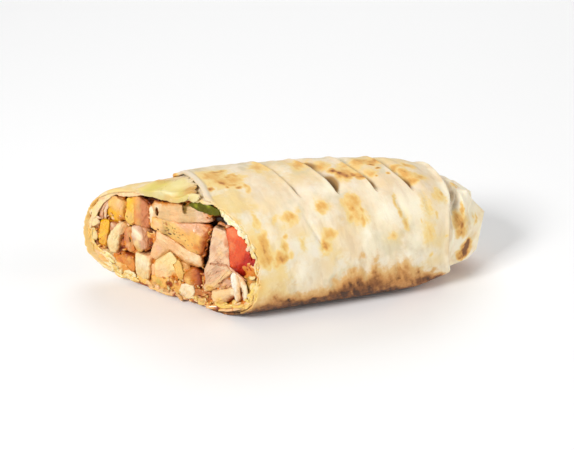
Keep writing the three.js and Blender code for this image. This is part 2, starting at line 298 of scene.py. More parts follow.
def slanted(slant, phi):
    return slant * np.clip(math.pi / 2 - phi, -0.6, 0.6)


def flap_x(phi):
    wander = 0.5 * np.sin(5 * phi) + 0.3 * np.sin(13 * phi + 1)
    return FLAP_X + slanted(FLAP_SLANT, phi) + wander


def rim_sag(x, phi):
    """How far the bare inner sheet sags towards the cut on top of the wrap."""
    behind = (x - rim_x(phi)) * math.sin(CUT_ANGLE)
    on_top = between(phi, 1.32, 1.48, 1.72, 2.2)
    return RIM_SAG * on_top * np.exp(-(np.maximum(behind, 0) / RIM_SAG_REACH) ** 2)


def rim_shift(phi):
    """How far the bread's edge stands back from the knife's plane, or over it."""
    shift = UNDER_SHIFT * smoothstep(-np.sin(phi), 0.6, 0.95)
    for at, wide, far in RIM_SHIFTS:
        shift = shift + far * np.exp(-((phi - at) / wide) ** 2)
    return shift


def ring_x(phi):
    return RING_X + 1.1 + 1.7 * np.cos(3 * (phi - 1.2)) + 0.25 * np.sin(8 * phi)


def past_furrow(x, phi, i):
    """How far a place lies past a furrow's crest, towards the tip."""
    return x - FURROWS[i] - slanted(FURROW_SLANT, phi) + 0.4 * np.sin(7 * phi + i)


def furrow_depth(x, phi):
    """Pleats of the hot press: a crisp crest, a step down past it and a gentle rise."""
    depth = 0
    for i, deep in enumerate(FURROW_DEPTHS):
        s = past_furrow(x, phi, i)
        groove = np.where(s < 0, np.exp(-(s / 0.35) ** 2), 1 - smoothstep(s, 0.3, FURROW_LENGTH))
        crest = np.exp(-((s + 1.1) / CREST_WIDTH) ** 2)
        depth = depth + deep * groove - CREST_HEIGHT * crest
    return depth * over_top(phi) * (1 - 0.25 * smoothstep(np.sin(phi), 0.96, 1))


# For each furrow, how far its painted shadow reaches past its crest in mm, how dark it is, and from
# where to where it thins out on top, as sines of the angle.
FURROW_SHADOWS = (
    (2.0, 0.3, 0.95, 0.985), (6.4, 0.64, 0.985, 1), (4.2, 0.44, 0.95, 0.985), (5.2, 0.56, 0.95, 0.985),
)


def furrow_shade(x, phi):
    """Painted shadow in the furrows, from 0 to 1."""
    up = np.sin(phi)
    shade = 0
    for i, (wide, dark, thinning, thin) in enumerate(FURROW_SHADOWS):
        reach = mix(0.5, wide, smoothstep(up, 0.86, 0.975))
        inside = between(past_furrow(x, phi, i), -0.2, 0.3, 0.4 * reach, reach)
        shade = np.maximum(shade, inside * dark * (1 - 0.7 * smoothstep(up, thinning, thin)))
    return shade * smoothstep(up, 0.83, 0.865)


def under_outer(x):
    """1 where the outer sheet hides what lies under it, and 0 well away from there."""
    return between(x, 26, 38, 104, 110)


def under_furrows(x, phi):
    """How far the hidden layers keep down below the furrows."""
    return CLEAR_OF_FURROWS * under_outer(x) * smoothstep(np.sin(phi), 0.7, 0.83)


# Creases from (x, degrees round the section) to the same, depth and width in mm.
CREASES = (
    ((50, 44), (58, 6), 0.6, 0.8), ((90, 62), (96, 12), 0.7, 1.5), ((66, 60), (73, 20), 0.3, 2.2),
    ((79, 50), (82, 5), 0.35, 2.0), ((103, 70), (106, 20), 0.4, 1.5), ((40, 25), (46, -12), 0.35, 1.6),
    ((30, 60), (41, 34), 0.35, 2.0), ((73, 2), (78, -28), 0.6, 1.4), ((88, 0), (92, -30), 0.5, 1.5),
    ((60, -8), (64, -34), 0.5, 1.3), ((44, -6), (49, -36), 0.4, 1.5),
)


def crease_depth(x, phi):
    """Shallow creases on the near side, each a line from one place to another."""
    arc = arc_of(phi)
    depth = 0
    for (x1, a1), (x2, a2), deep, wide in CREASES:
        start = np.array([x1, arc_at(a1)])
        run = np.array([x2, arc_at(a2)]) - start
        length = np.hypot(*run)
        away = np.stack([x - start[0], arc - start[1]], -1)
        t = np.clip((away @ run) / length ** 2, 0, 1)
        aside = (away[..., 0] * run[1] - away[..., 1] * run[0]) / length
        depth = depth + deep * between(t, 0, 0.3, 0.7, 1) * np.exp(-(aside / wide) ** 2)
    return depth


# Folds of the tucked end: place along, degrees round, reach along and round, and height in mm.
FOLDS = (
    (118.4, 60, 2.2, 10, -2.2), (117.6, 34, 1.8, 9, -1.5), (124.0, 52, 1.5, 9, 1.3),
    (123.8, 22, 1.3, 9, 0.8), (121, 84, 3.0, 5, 1.3), (128.2, 68, 2.4, 4.4, 2.4),
    (127.2, 30, 1.6, 8, -0.6), (131, 22, 2.2, 5, 0.6), (127, -6, 1.6, 7, -0.5),
    (118, -24, 2.4, 6, -0.6), (124.5, -30, 2.4, 5, 0.7), (119, 112, 2.4, 9, -1.1),
    (124, 104, 1.6, 8, 0.9), (129, 122, 2.6, 5, 1.2), (121, 150, 2.2, 9, 0.9), (126, 168, 2.0, 7, -0.8),
    (131, 150, 2.4, 5, 0.8), (122, 196, 2.4, 8, 0.8),
)


def tuck_depth(x, phi):
    """The pleats of the tucked end: tongue-shaped edges that step down to the tip, and folds."""
    depth = TUCK_STEP + 0 * x
    for tip, at, slant in PLEATS:
        bend = 1.2 * np.sin(4 * phi + tip)
        edge = np.maximum(tip - slant * np.abs(phi - at) + bend, RING_X + 2.5)
        depth = depth + PLEAT_STEP * smoothstep(x, edge - 0.5, edge + 0.5)
    arc = arc_of(phi)
    for x0, degrees, along, around, height in FOLDS:
        reach = np.hypot((x - x0) / along, (arc - arc_at(degrees)) / around)
        depth = depth - height * np.exp(-reach ** 1.6)
    return depth


# What trims the tucked end flat, as pairs of places that the camera sees: mm to the right of the
# middle of its view and above it, on a screen one metre ahead. The first lies above the second,
# and a fold may stand out above the first.
TRIMS = (
    ((136.21, 9.66), (130.69, -16.55)), ((127.59, 17.93), (136.55, 8.97)),
    ((130.69, -16.55), (124.14, -23.45)), ((124.83, -23.03), (109.66, -29.31)),
)
SCREEN_AHEAD = 1000
INSIDE_END = np.array([118.0, 0, 20])       # a place well inside the tucked end


def view_axes():
    """The camera's directions ahead, to the right and upwards."""
    ahead = np.array([math.sin(-CAMERA_HEADING), math.cos(-CAMERA_HEADING), 0.0])
    up = np.array([0.0, 0.0, 1.0])
    forward = ahead * math.cos(CAMERA_PITCH) - up * math.sin(CAMERA_PITCH)
    upright = ahead * math.sin(CAMERA_PITCH) + up * math.cos(CAMERA_PITCH)
    return forward, np.array([ahead[1], -ahead[0], 0.0]), upright


def sight_line(across, high):
    """The way from the camera to a place on the screen."""
    forward, right, upright = view_axes()
    return SCREEN_AHEAD * forward + across * right + high * upright


def on_screen(points):
    """Where the camera sees points, as places on the screen."""
    forward, right, upright = view_axes()
    away = points - CAMERA_PLACE
    scale = SCREEN_AHEAD / (away @ forward)
    return np.stack([scale * (away @ right), scale * (away @ upright)], -1)


def trimmed(points):
    """Points of the tucked end, pressed flat where the end was folded over."""
    weight = smoothstep(points[..., 0], RING_X, RING_X + 4)
    for first, second in TRIMS:
        normal = np.cross(sight_line(*first), sight_line(*second))
        normal = normal / np.linalg.norm(normal)
        if (INSIDE_END - CAMERA_PLACE) @ normal > 0:
            normal = -normal
        run = np.subtract(second, first)
        along = ((on_screen(points) - first) @ run) / (run @ run)
        over = np.maximum((points - CAMERA_PLACE) @ normal, 0)
        points = points - (weight * smoothstep(along, -0.4, 0) * over)[..., None] * normal
    return points


def skin_noise(points, phi):
    """Soft dents, small wrinkles and blisters of baked dough."""
    dents = fractal(points * np.array([1.0, 0.55, 0.55]), 12, 2, seed=3)
    folds = fractal(around_wrap(points, phi, 0.16, 0.3), 5.5, 3, seed=8, gain=0.55)
    blisters = np.maximum(noise(points, 3.2, seed=11) - 0.35, 0)
    return (0.5 * dents + 0.15 * folds - 0.25 * blisters) * mix(0.25, 1, off_underside(phi))


# ---- Toasting -------------------------------------------------------------------------------

# Place along, degrees round, size along and round in mm, and how brown, from 0 to 1.
TOAST = (
    (30, 42, 1.2, 3.2, 0.42), (38, 41, 2.2, 1.8, 0.34), (44.5, 41, 3.0, 3.0, 0.52),
    (45.5, 43, 1.0, 1.0, 0.62), (41.5, 24.5, 0.8, 0.8, 0.7), (31.5, 20, 2.7, 4.2, 0.64),
    (32.8, 9.5, 2.6, 4.0, 0.6), (31.8, 15, 1.2, 3, 0.76), (38.5, 7, 2.2, 2.6, 0.72),
    (40.2, 16.5, 1.3, 2.4, 0.55), (42.8, 9.5, 1.7, 1.7, 0.4), (48.5, 16.5, 1.7, 2.6, 0.3),
    (58, 48, 2.5, 2.1, 0.6), (57, 49, 1.2, 1.2, 0.66), (62, 47, 1.7, 1.7, 0.22),
    (72.2, 49.5, 3.5, 3.0, 0.5), (72.2, 37, 4.0, 4.0, 0.42), (70, 33, 0.9, 2.2, 0.66),
    (74.2, 31, 0.8, 2.4, 0.6), (75, 41, 0.8, 2.4, 0.66), (71, 44, 0.9, 2.0, 0.6),
    (60.2, 20.5, 2.8, 2.5, 0.54), (58.4, 13, 2.3, 4.2, 0.66), (57.6, 9.5, 1.5, 2.4, 0.68),
    (87.2, 14, 2.3, 1.8, 0.36), (90.6, 48, 0.7, 3.4, 0.36), (91.8, 36, 0.8, 3.4, 0.4),
    (93.4, 24, 1.3, 2.6, 0.4), (104, 14, 3.2, 4.4, 0.32), (105, 38, 3, 6, 0.26),
    (112, 7, 0.8, 1.2, 0.4), (111.6, 53, 2.6, 3.4, 0.36), (112.6, 56, 1.0, 1.4, 0.6),
    (104.8, -3, 1.0, 1.4, 0.32), (101, 24, 0.6, 1.2, 0.4), (108, 30, 0.6, 2.0, 0.4),
    (70.0, 87, 2.3, 2.4, 0.9), (71.6, 82.8, 2.6, 2.3, 0.92), (73.8, 79.8, 3.0, 1.9, 0.86),
    (76.4, 77.4, 3.0, 1.7, 0.82), (79.4, 75.4, 2.4, 1.4, 0.78), (73.5, 83, 4.4, 5.0, 0.52),
    (67, 97, 3.0, 4.0, 0.5), (76, 92, 3.4, 3.4, 0.42), (84, 95, 5.0, 3.4, 0.5),
    (87.2, 91, 1.4, 0.7, 0.98), (89.2, 87, 1.0, 0.8, 1.0), (86.8, 77.5, 0.6, 0.6, 0.9),
    (92, 80, 0.9, 0.8, 0.66), (85, 82, 3.0, 2.6, 0.44), (89, 96, 3.0, 3.4, 0.6),
    (84, 101, 4.0, 3.0, 0.66), (98.5, 91, 3.4, 3.4, 0.6), (100, 82, 3.0, 3.6, 0.62),
    (101, 73, 2.6, 2.6, 0.56), (105.5, 78, 3.0, 3.0, 0.52), (104, 93, 3.0, 3.4, 0.55),
    (57, 98, 3.6, 4.4, 0.6), (60, 104, 3, 4, 0.5), (40, 100, 4, 6, 0.5), (23, 88, 6.0, 5.2, 0.55),
    (19, 94, 6, 5.0, 0.56), (21.5, 85.5, 1.6, 1.5, 0.98), (16.2, 79.5, 1.3, 1.2, 0.92),
    (23, 79.8, 0.9, 0.8, 0.82), (27, 78.2, 1.3, 0.9, 0.92), (25.6, 82, 1.6, 1.0, 0.8),
    (30.2, 79, 1.0, 1.6, 0.5), (31, 74, 1.0, 2.4, 0.4), (22, 99, 5.0, 1.4, 0.72),
    (26, 92, 3, 1.5, 0.66), (8.2, 98, 0.4, 0.7, 0.95), (9.0, 90, 0.6, 0.5, 0.95),
    (9.6, 86, 0.4, 0.8, 1.0), (10.2, 80, 0.4, 0.6, 0.9), (7.4, 93, 0.4, 0.4, 0.9),
    (6.4, 97, 0.6, 0.3, 0.9), (8, 90, 3.0, 7, 0.34), (121.0, 19, 3.4, 6.0, 0.68),
    (121.6, 5, 3.4, 4.6, 0.7), (122.6, 16, 1.4, 5.4, 0.82), (123.2, 34, 0.8, 4.6, 0.56),
    (120.8, 8, 1.2, 3.0, 0.6), (124.8, -12, 3.2, 3.0, 1.2), (125.4, -20, 3.6, 4.0, 1.4),
    (125.2, -28, 3.2, 3.2, 1.25), (130, 20, 1.2, 4.4, 0.5), (121.6, 76, 2.0, 1.6, 0.5),
    (126, 82, 2.4, 1.6, 0.55), (-26, 128, 2.0, 2.5, 0.8), (4, 128, 4, 5, 0.6), (30, 135, 5, 5, 0.7),
    (52, 150, 4, 6, 0.7), (80, 140, 5, 5, 0.75), (100, 160, 4, 4, 0.6), (66, 170, 3, 5, 0.5),
    (20, 165, 4, 4, 0.5), (124, 120, 2.4, 4, 0.6), (121, 165, 2, 4, 0.7), (130, 140, 2, 3, 0.6),
)

# Browning along the pressed bottom edge of the near side, partly painted shadow from the floor:
# place along, and its top in degrees.
PRESSED_EDGE = np.array([
    (24, -34), (30, -16), (38, -12), (48, -17), (58, -15), (64, -8), (68, 0), (73, 2), (76, -5),
    (80, 2), (84, -5), (88, -3), (93, 1), (98, -7), (106, -19), (112, -27), (120, -60),
], float)

# Painted shadow where the near side darkens towards its bottom edge by the floor: place along,
# degrees where it starts and degrees it takes.
FLOOR_SHADOW_EDGE = np.array([
    (20, -14, 34), (32, -13, 32), (38, -16, 26), (47, -19, 18), (56, -17, 18), (64, -13, 15), (73, -11, 18),
    (78, -12, 20), (82, -20, 22), (90, -8, 34), (96, -14, 40), (101, -30, 30), (112, -42, 40),
], float)

# Brown patches along that edge, as in TOAST, partly toast and partly painted shadow from the floor.
PRESSED_SPOTS = (
    (73.2, 0.5, 1.4, 2.2, 0.4), (70, -10, 3.6, 3.4, 0.62), (70.4, -20, 3.2, 3.0, 0.86),
    (80, -9, 2.4, 2.6, 0.52), (78.8, -18, 2.2, 2.4, 0.6), (91, -12, 3.2, 3.0, 0.52),
    (91.5, -24, 4, 2.6, 0.74), (97.8, -17, 3.6, 2.6, 0.62), (104.8, -24, 3.6, 2.0, 0.5),
    (63.2, -28, 4.5, 2.5, 0.86), (54.8, -32, 4.5, 2.5, 0.9), (36.5, -21, 3.6, 1.8, 0.6),
    (44, -30, 5, 2.4, 0.8), (39, -7.5, 1.2, 2.2, 0.18), (45.2, -10.5, 1.2, 1.8, 0.14),
)

# Yellow patches of oil and floury ones, as in TOAST. The floury rows on the tucked end, from 126 mm
# on, are painted light.
WARM = (
    (27.5, 43, 2.6, 7, 0.9), (28, 30, 2.6, 6, 0.8), (27, 8, 2.6, 6, 0.4), (37, 56, 4, 4, 0.4),
    (50, 20, 4.5, 5, 0.75), (58, 15, 5, 5, 0.7), (63, 1, 4.5, 5, 0.7), (44.8, 13, 3.4, 5, 0.5),
    (65.5, 24, 3, 4, 0.4), (108.2, 3, 3.4, 6, 0.75), (108.8, -10, 3.4, 4, 0.6), (103, -12, 4, 4, 0.8),
    (91.2, 9, 2.6, 3.6, 0.5), (110.8, 50, 2.6, 4.4, 0.6), (104, 14, 3, 5, 0.9),
    (87.2, 13, 3.4, 3.4, 0.5), (93.4, 27, 2, 4, 0.6), (72, 34, 5.4, 7, 0.5), (59, 15, 4, 6, 0.5),
    (59, 48, 3.6, 3.6, 0.5), (116, -29, 3, 3, 0.4), (127, 22, 3.4, 7, 0.6), (34, 14, 5, 9, 0.5),
)
WHITE = (
    (101, 42, 4.5, 7, 0.9), (84.5, 38, 4.5, 7, 0.9), (81.5, 57, 5, 5, 0.7), (76, 22, 2.6, 9, 0.7),
    (95, 40, 4, 6, 0.6), (87, 24, 3, 4, 0.5), (99, 8, 4.5, 6, 0.7), (95, -2, 3.4, 4, 0.7),
    (64, 64, 5, 4, 0.8), (55, 52, 3, 6, 0.6), (101, 24, 3, 5, 0.6), (80, 10, 3.6, 5, 0.5),
    (43, 45, 4, 5, 0.5), (48, -2, 4, 4, 0.6), (126, 64, 3, 5, 1), (129, 50, 3, 6, 1),
    (131, 30, 2.4, 6, 0.9), (132, 8, 2.4, 7, 0.9), (119, -10, 2, 8, 0.7),
)


def around_wrap(points, phi, slant, stretch):
    """Coordinates in which noise makes streaks that run round the wrap."""
    arc = arc_of(phi)
    return np.stack([points[..., 0] + slant * arc, stretch * arc, 0 * arc], -1)


def spots_amount(table, points, phi, ragged, mottle):
    """The strongest of a table of soft, uneven spots at each place."""
    x, arc = points[..., 0], arc_of(phi)
    drift_x = 1.5 * fractal(points, 4.5, 3, seed=33, gain=0.6)
    drift_arc = 1.5 * fractal(points, 4.5, 3, seed=34, gain=0.6)
    brown = 0
    for x0, degrees, along, around, strength in table:
        share = min(1, (along + around) / 5)
        reach = np.hypot((x + share * drift_x - x0) / along,
                         (arc + share * drift_arc - arc_at(degrees)) / around)
        spot = 1 - smoothstep(reach + 0.14 * ragged, -0.1, 1.95)
        brown = np.maximum(brown, strength * spot * (1.04 + 0.2 * mottle))
    return brown


def toast_amount(points, phi):
    """How brown the bread is from the hot plate, from 0 to 1: golden spots, and pressed edges that
    also carry painted shadow along the bottom near the floor.
    """
    x = points[..., 0]
    ragged = fractal(points * np.array([1, 0.8, 0.8]), 3.6, 3, seed=31, gain=0.62)
    streaky = fractal(around_wrap(points, phi, 0.3, 0.2), 1.3, 3, seed=39)
    mottle = 0.5 * fractal(points, 1.8, 3, seed=37) + streaky
    golden = spots_amount(TOAST, points, phi, ragged, mottle)
    far_side = smoothstep(-np.cos(phi), 0.4, 0.6) * (1 - smoothstep(x, 110, 114))
    scattered = smoothstep(fractal(points, 10, 3, seed=47), 0.42, 0.85) * (0.8 + 0.2 * mottle)
    golden = np.maximum(golden, 0.75 * far_side * scattered)
    # The pressed edge along the bottom of the near side, partly painted shadow from the floor, and the
    # whole of the underside.
    degrees = np.degrees(phi)
    degrees = np.where(degrees > 180, degrees - 360, degrees)
    near_top = np.interp(x, PRESSED_EDGE[:, 0], PRESSED_EDGE[:, 1])
    broad = fractal(points * np.array([1, 0.8, 0.8]), 7, 3, seed=32, gain=0.5)
    near = smoothstep(near_top - degrees - 3 * ragged - 4 * broad, -4, 20) * (degrees > -100)
    # Painted shadow: the near side darkens along its bottom edge, by the floor.
    dark_start, dark_span = [np.interp(x, FLOOR_SHADOW_EDGE[:, 0], FLOOR_SHADOW_EDGE[:, k]) for k in (1, 2)]
    dark = smoothstep((dark_start - degrees - 2.5 * ragged) / dark_span, 0, 1.05)
    dark = dark * smoothstep(degrees, -100, -60) * smoothstep(x, 8, 24)
    height = points[..., 2] + 2.4 * ragged
    low = (1 - smoothstep(height, 3, 12)) * smoothstep(-np.cos(phi), -0.5, 0.1)
    low = low * between(x, -28, -10, 112, 120)
    patchy = 0.5 + 0.5 * fractal(points * np.array([0.5, 1, 1]), 9, 3, seed=41)
    pressed_and_shadow = np.maximum(near * mix(0.5, 0.95, patchy), low * mix(0.6, 1, patchy))
    pressed_and_shadow = np.maximum(pressed_and_shadow, 0.93 * dark)
    pressed_and_shadow = np.maximum(pressed_and_shadow, spots_amount(PRESSED_SPOTS, points, phi, ragged, mottle))
    return np.clip(golden, 0, 1.1), np.clip(pressed_and_shadow * (1 + 0.14 * mottle), 0, 1)


# ---- Meshes ---------------------------------------------------------------------------------

def to_object(name, points, faces, slot, replaced, values, colors=None):
    """A piece from points in the wrap's own millimetres and faces of vertex numbers."""
    mesh = bpy.data.meshes.new(name)
    sizes = np.concatenate([np.full(len(group), group.shape[1]) for group in faces])
    corners = np.concatenate([group.ravel() for group in faces])
    mesh.vertices.add(len(points))
    mesh.vertices.foreach_set("co", to_frame(points).astype(np.float32).ravel())
    mesh.loops.add(len(corners))
    mesh.loops.foreach_set("vertex_index", corners.astype(np.int32))
    mesh.polygons.add(len(sizes))
    starts = np.concatenate([[0], np.cumsum(sizes)[:-1]])
    mesh.polygons.foreach_set("loop_start", starts.astype(np.int32))
    mesh.polygons.foreach_set("use_smooth", np.ones(len(sizes), bool))
    mesh.update(calc_edges=True)
    mesh.validate()
    for key, numbers in values.items():
        attribute = mesh.attributes.new(key, "FLOAT", "POINT")
        attribute.data.foreach_set("value", np.asarray(numbers, np.float32).ravel())
    if colors is not None:
        attribute = mesh.attributes.new("Paint", "FLOAT_COLOR", "POINT")
        opaque = np.concatenate([colors, np.ones((len(colors), 1))], -1)
        attribute.data.foreach_set("color", opaque.astype(np.float32).ravel())
    piece = bpy.data.objects.new(name, mesh)
    bpy.context.scene.collection.objects.link(piece)
    mesh.materials.append(MATERIALS[slot])
    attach(piece, "root")
    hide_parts(*replaced)


def loft_faces(loops, around, closed_ends=True):
    """Quads between loops of points, and the fans that close both ends."""
    ring = np.arange(loops - 1)[:, None] * around
    i = np.arange(around)
    j = (i + 1) % around
    quads = np.stack([ring + i, ring + j, ring + around + j, ring + around + i], -1)
    faces = [quads.reshape(-1, 4)]
    if closed_ends:
        last, hub = (loops - 1) * around, np.full(around, loops * around)
        faces.append(np.stack([hub, j, i], -1))
        faces.append(np.stack([hub + 1, last + i, last + j], -1))
    return faces


def signed_volume(points, faces):
    """Six times the volume that the faces close in, below 0 where they look inwards."""
    total = 0
    for group in faces:
        for k in range(1, group.shape[1] - 1):
            a, b, c = points[group[:, 0]], points[group[:, k]], points[group[:, k + 1]]
            total += np.einsum("ij,ij->i", a, np.cross(b, c)).sum()
    return total


def outward(points, faces):
    """The faces of a closed piece, turned so that they look out."""
    if signed_volume(points, faces) < 0:
        return [group[:, ::-1] for group in faces]
    return faces


class Cluster:
    """Closed bits that make one piece together."""

    def __init__(self):
        self.points, self.faces, self.colors, self.fibres = [], [], [], []
        self.count = 0

    def add(self, points, faces, colors, fibres=None):
        self.faces += [group + self.count for group in outward(points, faces)]
        self.points.append(points)
        self.colors.append(colors)
        self.fibres.append(np.zeros(len(points)) if fibres is None else fibres)
        self.count += len(points)

    def to_object(self, name, slot, node):
        to_object(name, np.concatenate(self.points), self.faces, slot, [node],
                  {"Fibres": np.concatenate(self.fibres)}, colors=np.concatenate(self.colors))


# ---- The bread ------------------------------------------------------------------------------

OUTER_PLY = 0.42          # share of the wall that the outer sheet takes
AROUND = 340              # points round each loop of a sheet
EDGE_ROUND = 0.6          # how far a cut edge swells, over half its thickness
OUTER_STEPS = 250         # steps along the outer sheet's outer face
# Which of those steps the inner face has a loop at.
INNER_LOOPS = (0, 1, 2, 4, 8, 16, 40, 90, 150, 200, 235, 245, 249, OUTER_STEPS)
TUCK_START = (110, 114)   # where the tucked end begins, and where it has its full relief
INNER_FACE_END = 100
SHOULDER = 1.5


def shoulder(x, phi):
    """How far the far side's upper edge swells out near the cut."""
    return SHOULDER * np.exp(-((phi - 2.1) / 0.42) ** 2 - ((x + 17) / 15) ** 2)


def bread_points(x, phi, depth, fraction):
    """Points on a sheet's face, with the relief that all the sheets share."""
    nominal = section(x, phi, 0, 0)
    shared = furrow_depth(x, phi) + crease_depth(x, phi) + skin_noise(nominal, phi) - shoulder(x, phi)
    return section(x, phi, depth + shared * off_underside(phi), fraction)


def ragged_rim(phi, seed, size, reach):
    """How far a torn, cut edge of bread stands back from the knife's plane."""
    place = np.stack([arc_of(phi), 0 * phi, 0 * phi], -1)
    calm = mix(0.35, 1, smoothstep(np.cos(phi), -0.7, 0.1))
    return reach * (0.5 + 0.5 * calm * fractal(place, size, 4, seed=seed, gain=0.7))


def cut_edge(inner, outer, direction):
    """The loop that rounds a sheet's cut edge, between its two faces."""
    half = np.linalg.norm(inner - outer, axis=-1, keepdims=True) / 2
    return (inner + outer) / 2 + direction * np.array([EDGE_ROUND, 0, 0]) * half


def join_loops(loops):
    """One array of points for loops, with the middles of the first and last after them."""
    ends = np.stack([loops[0].mean(0), loops[-1].mean(0)])
    return np.concatenate([np.concatenate(loops), ends])


def flap_lip(x, phi):
    """The untoasted, raised lip of the outer sheet where it ends on top of the wrap."""
    past = x - flap_x(phi)
    return between(past, -0.6, 0, 1.2, 3.2) * smoothstep(np.sin(phi), 0.86, 0.95)


VALLEY_SHADE_X, VALLEY_SHADE_PHI = 119.4, 0.8       # the middle of the valley on the tucked end that is painted in shade


def bread_values(points, phi):
    """The numbers that color the bread at each point."""
    x = points[..., 0]
    golden, pressed_and_shadow = toast_amount(points, phi)
    place = cut_place(points)
    wet = fractal(points, 5, 3, seed=53)
    soaked = 1 - smoothstep(place[..., 1] + 1.2 * wet, -0.3, 2.6)
    soaked = soaked * (1 - 0.7 * smoothstep(np.sin(phi), 0.6, 0.9))
    yellow = 1 - smoothstep(place[..., 1] + 7 * wet, 1, 17)
    patches = smoothstep(fractal(points, 12, 3, seed=57), 0.1, 0.8)
    warm = np.clip(0.95 * yellow + 0.6 * patches * smoothstep(-np.cos(phi), -0.5, 0), 0, 1)
    warm = np.maximum(warm, spots_amount(WARM, points, phi, wet, 0 * x))
    warm = np.maximum(warm, 0.6 * smoothstep(x, 122, 127) * smoothstep(np.cos(phi), 0.4, 0.9))
    grey = smoothstep(fractal(points * np.array([1, 0.7, 0.7]), 11, 4, seed=58, gain=0.6), -0.1, 0.6)
    grey = grey * smoothstep(place[..., 1], 8, 22) * (1 - smoothstep(x, 96, 114))
    # Painted shade, grey, in the valley just past the ring on the tucked end.
    valley_x = VALLEY_SHADE_X + 5.7 * (phi - VALLEY_SHADE_PHI)
    valley = np.hypot((x - valley_x) / 3.0, (arc_of(phi) - arc_of(VALLEY_SHADE_PHI)) / 11)
    valley_shade = (1 - smoothstep(valley + 0.4 * wet, 0.3, 1.3)) * (0.75 + 0.4 * fractal(points, 1.6, 3, seed=61))
    # Floury patches, and painted light over the tucked end from 108 mm on.
    flour_and_light = smoothstep(x, 108, 117) * smoothstep(wet, -0.9, 0.5)
    flour_and_light = np.maximum(flour_and_light, spots_amount(WHITE, points, phi, wet, 0 * x))
    streaks = fractal(around_wrap(points, phi, 0.2, 0.3), 2.4, 3, seed=59, gain=0.6)
    lip = flap_lip(x, phi)
    # These numbers include painted shade in the furrows and the end's valley, painted shadow along the
    # bottom edge and painted light on the tucked end.
    return {"Toast": golden * (1 - lip), "PressedAndShadow": pressed_and_shadow, "Soaked": soaked, "Warm": warm,
            "Grey": grey, "ValleyShade": np.clip(valley_shade, 0, 1), "FlourAndLight": flour_and_light, "Streaks": streaks,
            "Lip": lip, "FurrowShadow": furrow_shade(x, phi)}


def outer_sheet():
    """The sheet on the outside, from the flap's edge on top to the ring at the tucked end."""
    phi = even_phi(AROUND)
    rim = rim_x(phi) + rim_shift(phi) + ragged_rim(phi, 5, 3.2, 0.9)
    start, end = np.maximum(rim, flap_x(phi)), ring_x(phi)
    xs = [mix(start, end, i / OUTER_STEPS) for i in range(OUTER_STEPS + 1)]

    def raised(x):
        """How far the lip and the curled edge at the ring stand out."""
        curl = mix(0.7, 1.3, smoothstep(np.sin(phi), 0.8, 0.98)) * np.exp(-((x - end) / 1.5) ** 2)
        return (0.9 * flap_lip(x, phi) + curl) * off_underside(phi)

    inner_face = [bread_points(xs[i], phi, under_furrows(xs[i], phi) - raised(xs[i]), OUTER_PLY * 0.9)
                  for i in INNER_LOOPS]
    outer_face = [bread_points(x, phi, -raised(x), 0) for x in xs]
    start_edge = cut_edge(inner_face[0], outer_face[0], -1)
    end_edge = cut_edge(inner_face[-1], outer_face[-1], 1)
    loops = inner_face[::-1] + [start_edge] + outer_face + [end_edge]
    points, count = np.concatenate(loops), len(loops)
    faces = loft_faces(count, AROUND, closed_ends=False)
    # The last loop joins the first one.
    i = np.arange(AROUND)
    j, last = (i + 1) % AROUND, (count - 1) * AROUND
    faces.append(np.stack([last + i, last + j, j, i], -1))
    to_object("bread_outer_sheet", points, outward(points, faces), "flatbread", ["flatbread"],
              bread_values(points, np.tile(phi, count)))


def inner_sheet():
    """The sheet inside it, bare between the cut and the flap, and folded shut at the tip."""
    phi = even_phi(AROUND)
    rim = rim_x(phi) + rim_shift(phi) - 0.5 + ragged_rim(phi, 9, 2.4, 1.3)
    covered = np.maximum(rim + 8, FLAP_X + 6)
    tuck_x, tip = 0 * phi + TUCK_START[0], 0 * phi + TIP
    spans = [(rim, covered, 60), (covered, tuck_x, 12), (tuck_x, tip, 130)]
    xs = [mix(a, b, i / steps) for a, b, steps in spans for i in range(steps)] + [tip]

    def outer_point(x):
        tuck = smoothstep(x, *TUCK_START)
        depth = tuck * tuck_depth(x, phi) * off_underside(phi) + rim_sag(x, phi)
        share = (1 - tuck) * (OUTER_PLY + 0.02)
        relief = bread_points(x, phi, depth, share)
        plain = section(x, phi, depth + under_furrows(x, phi), share)
        smooth = np.maximum(smoothstep(x, 136, TIP), under_outer(x))
        return mix(relief, plain, smooth[..., None])

    outer_face = [outer_point(x) for x in xs]
    end = 0 * phi + INNER_FACE_END
    inner_xs = [rim, rim + 0.5, rim + 1.5, rim + 4, mix(rim, end, 0.5), end]
    inner_face = [bread_points(x, phi, under_furrows(x, phi), lining(phi)) for x in inner_xs]
    loops = inner_face[::-1] + [cut_edge(inner_face[0], outer_face[0], -1)] + outer_face
    untrimmed = join_loops(loops)
    values = bread_values(untrimmed, np.concatenate([np.tile(phi, len(loops)), [0, 0]]))
    points = trimmed(untrimmed)
    faces = outward(points, loft_faces(len(loops), AROUND))
    to_object("bread_inner_sheet", points, faces, "flatbread", ["flatbread"], values)


# ---- Materials ------------------------------------------------------------------------------

def srgb(red, green, blue):
    """A linear color from the 0 to 255 numbers of a picture's color."""
    def linear(value):
        value /= 255
        return value / 12.92 if value <= 0.04045 else ((value + 0.055) / 1.055) ** 2.4
    return (linear(red), linear(green), linear(blue), 1)


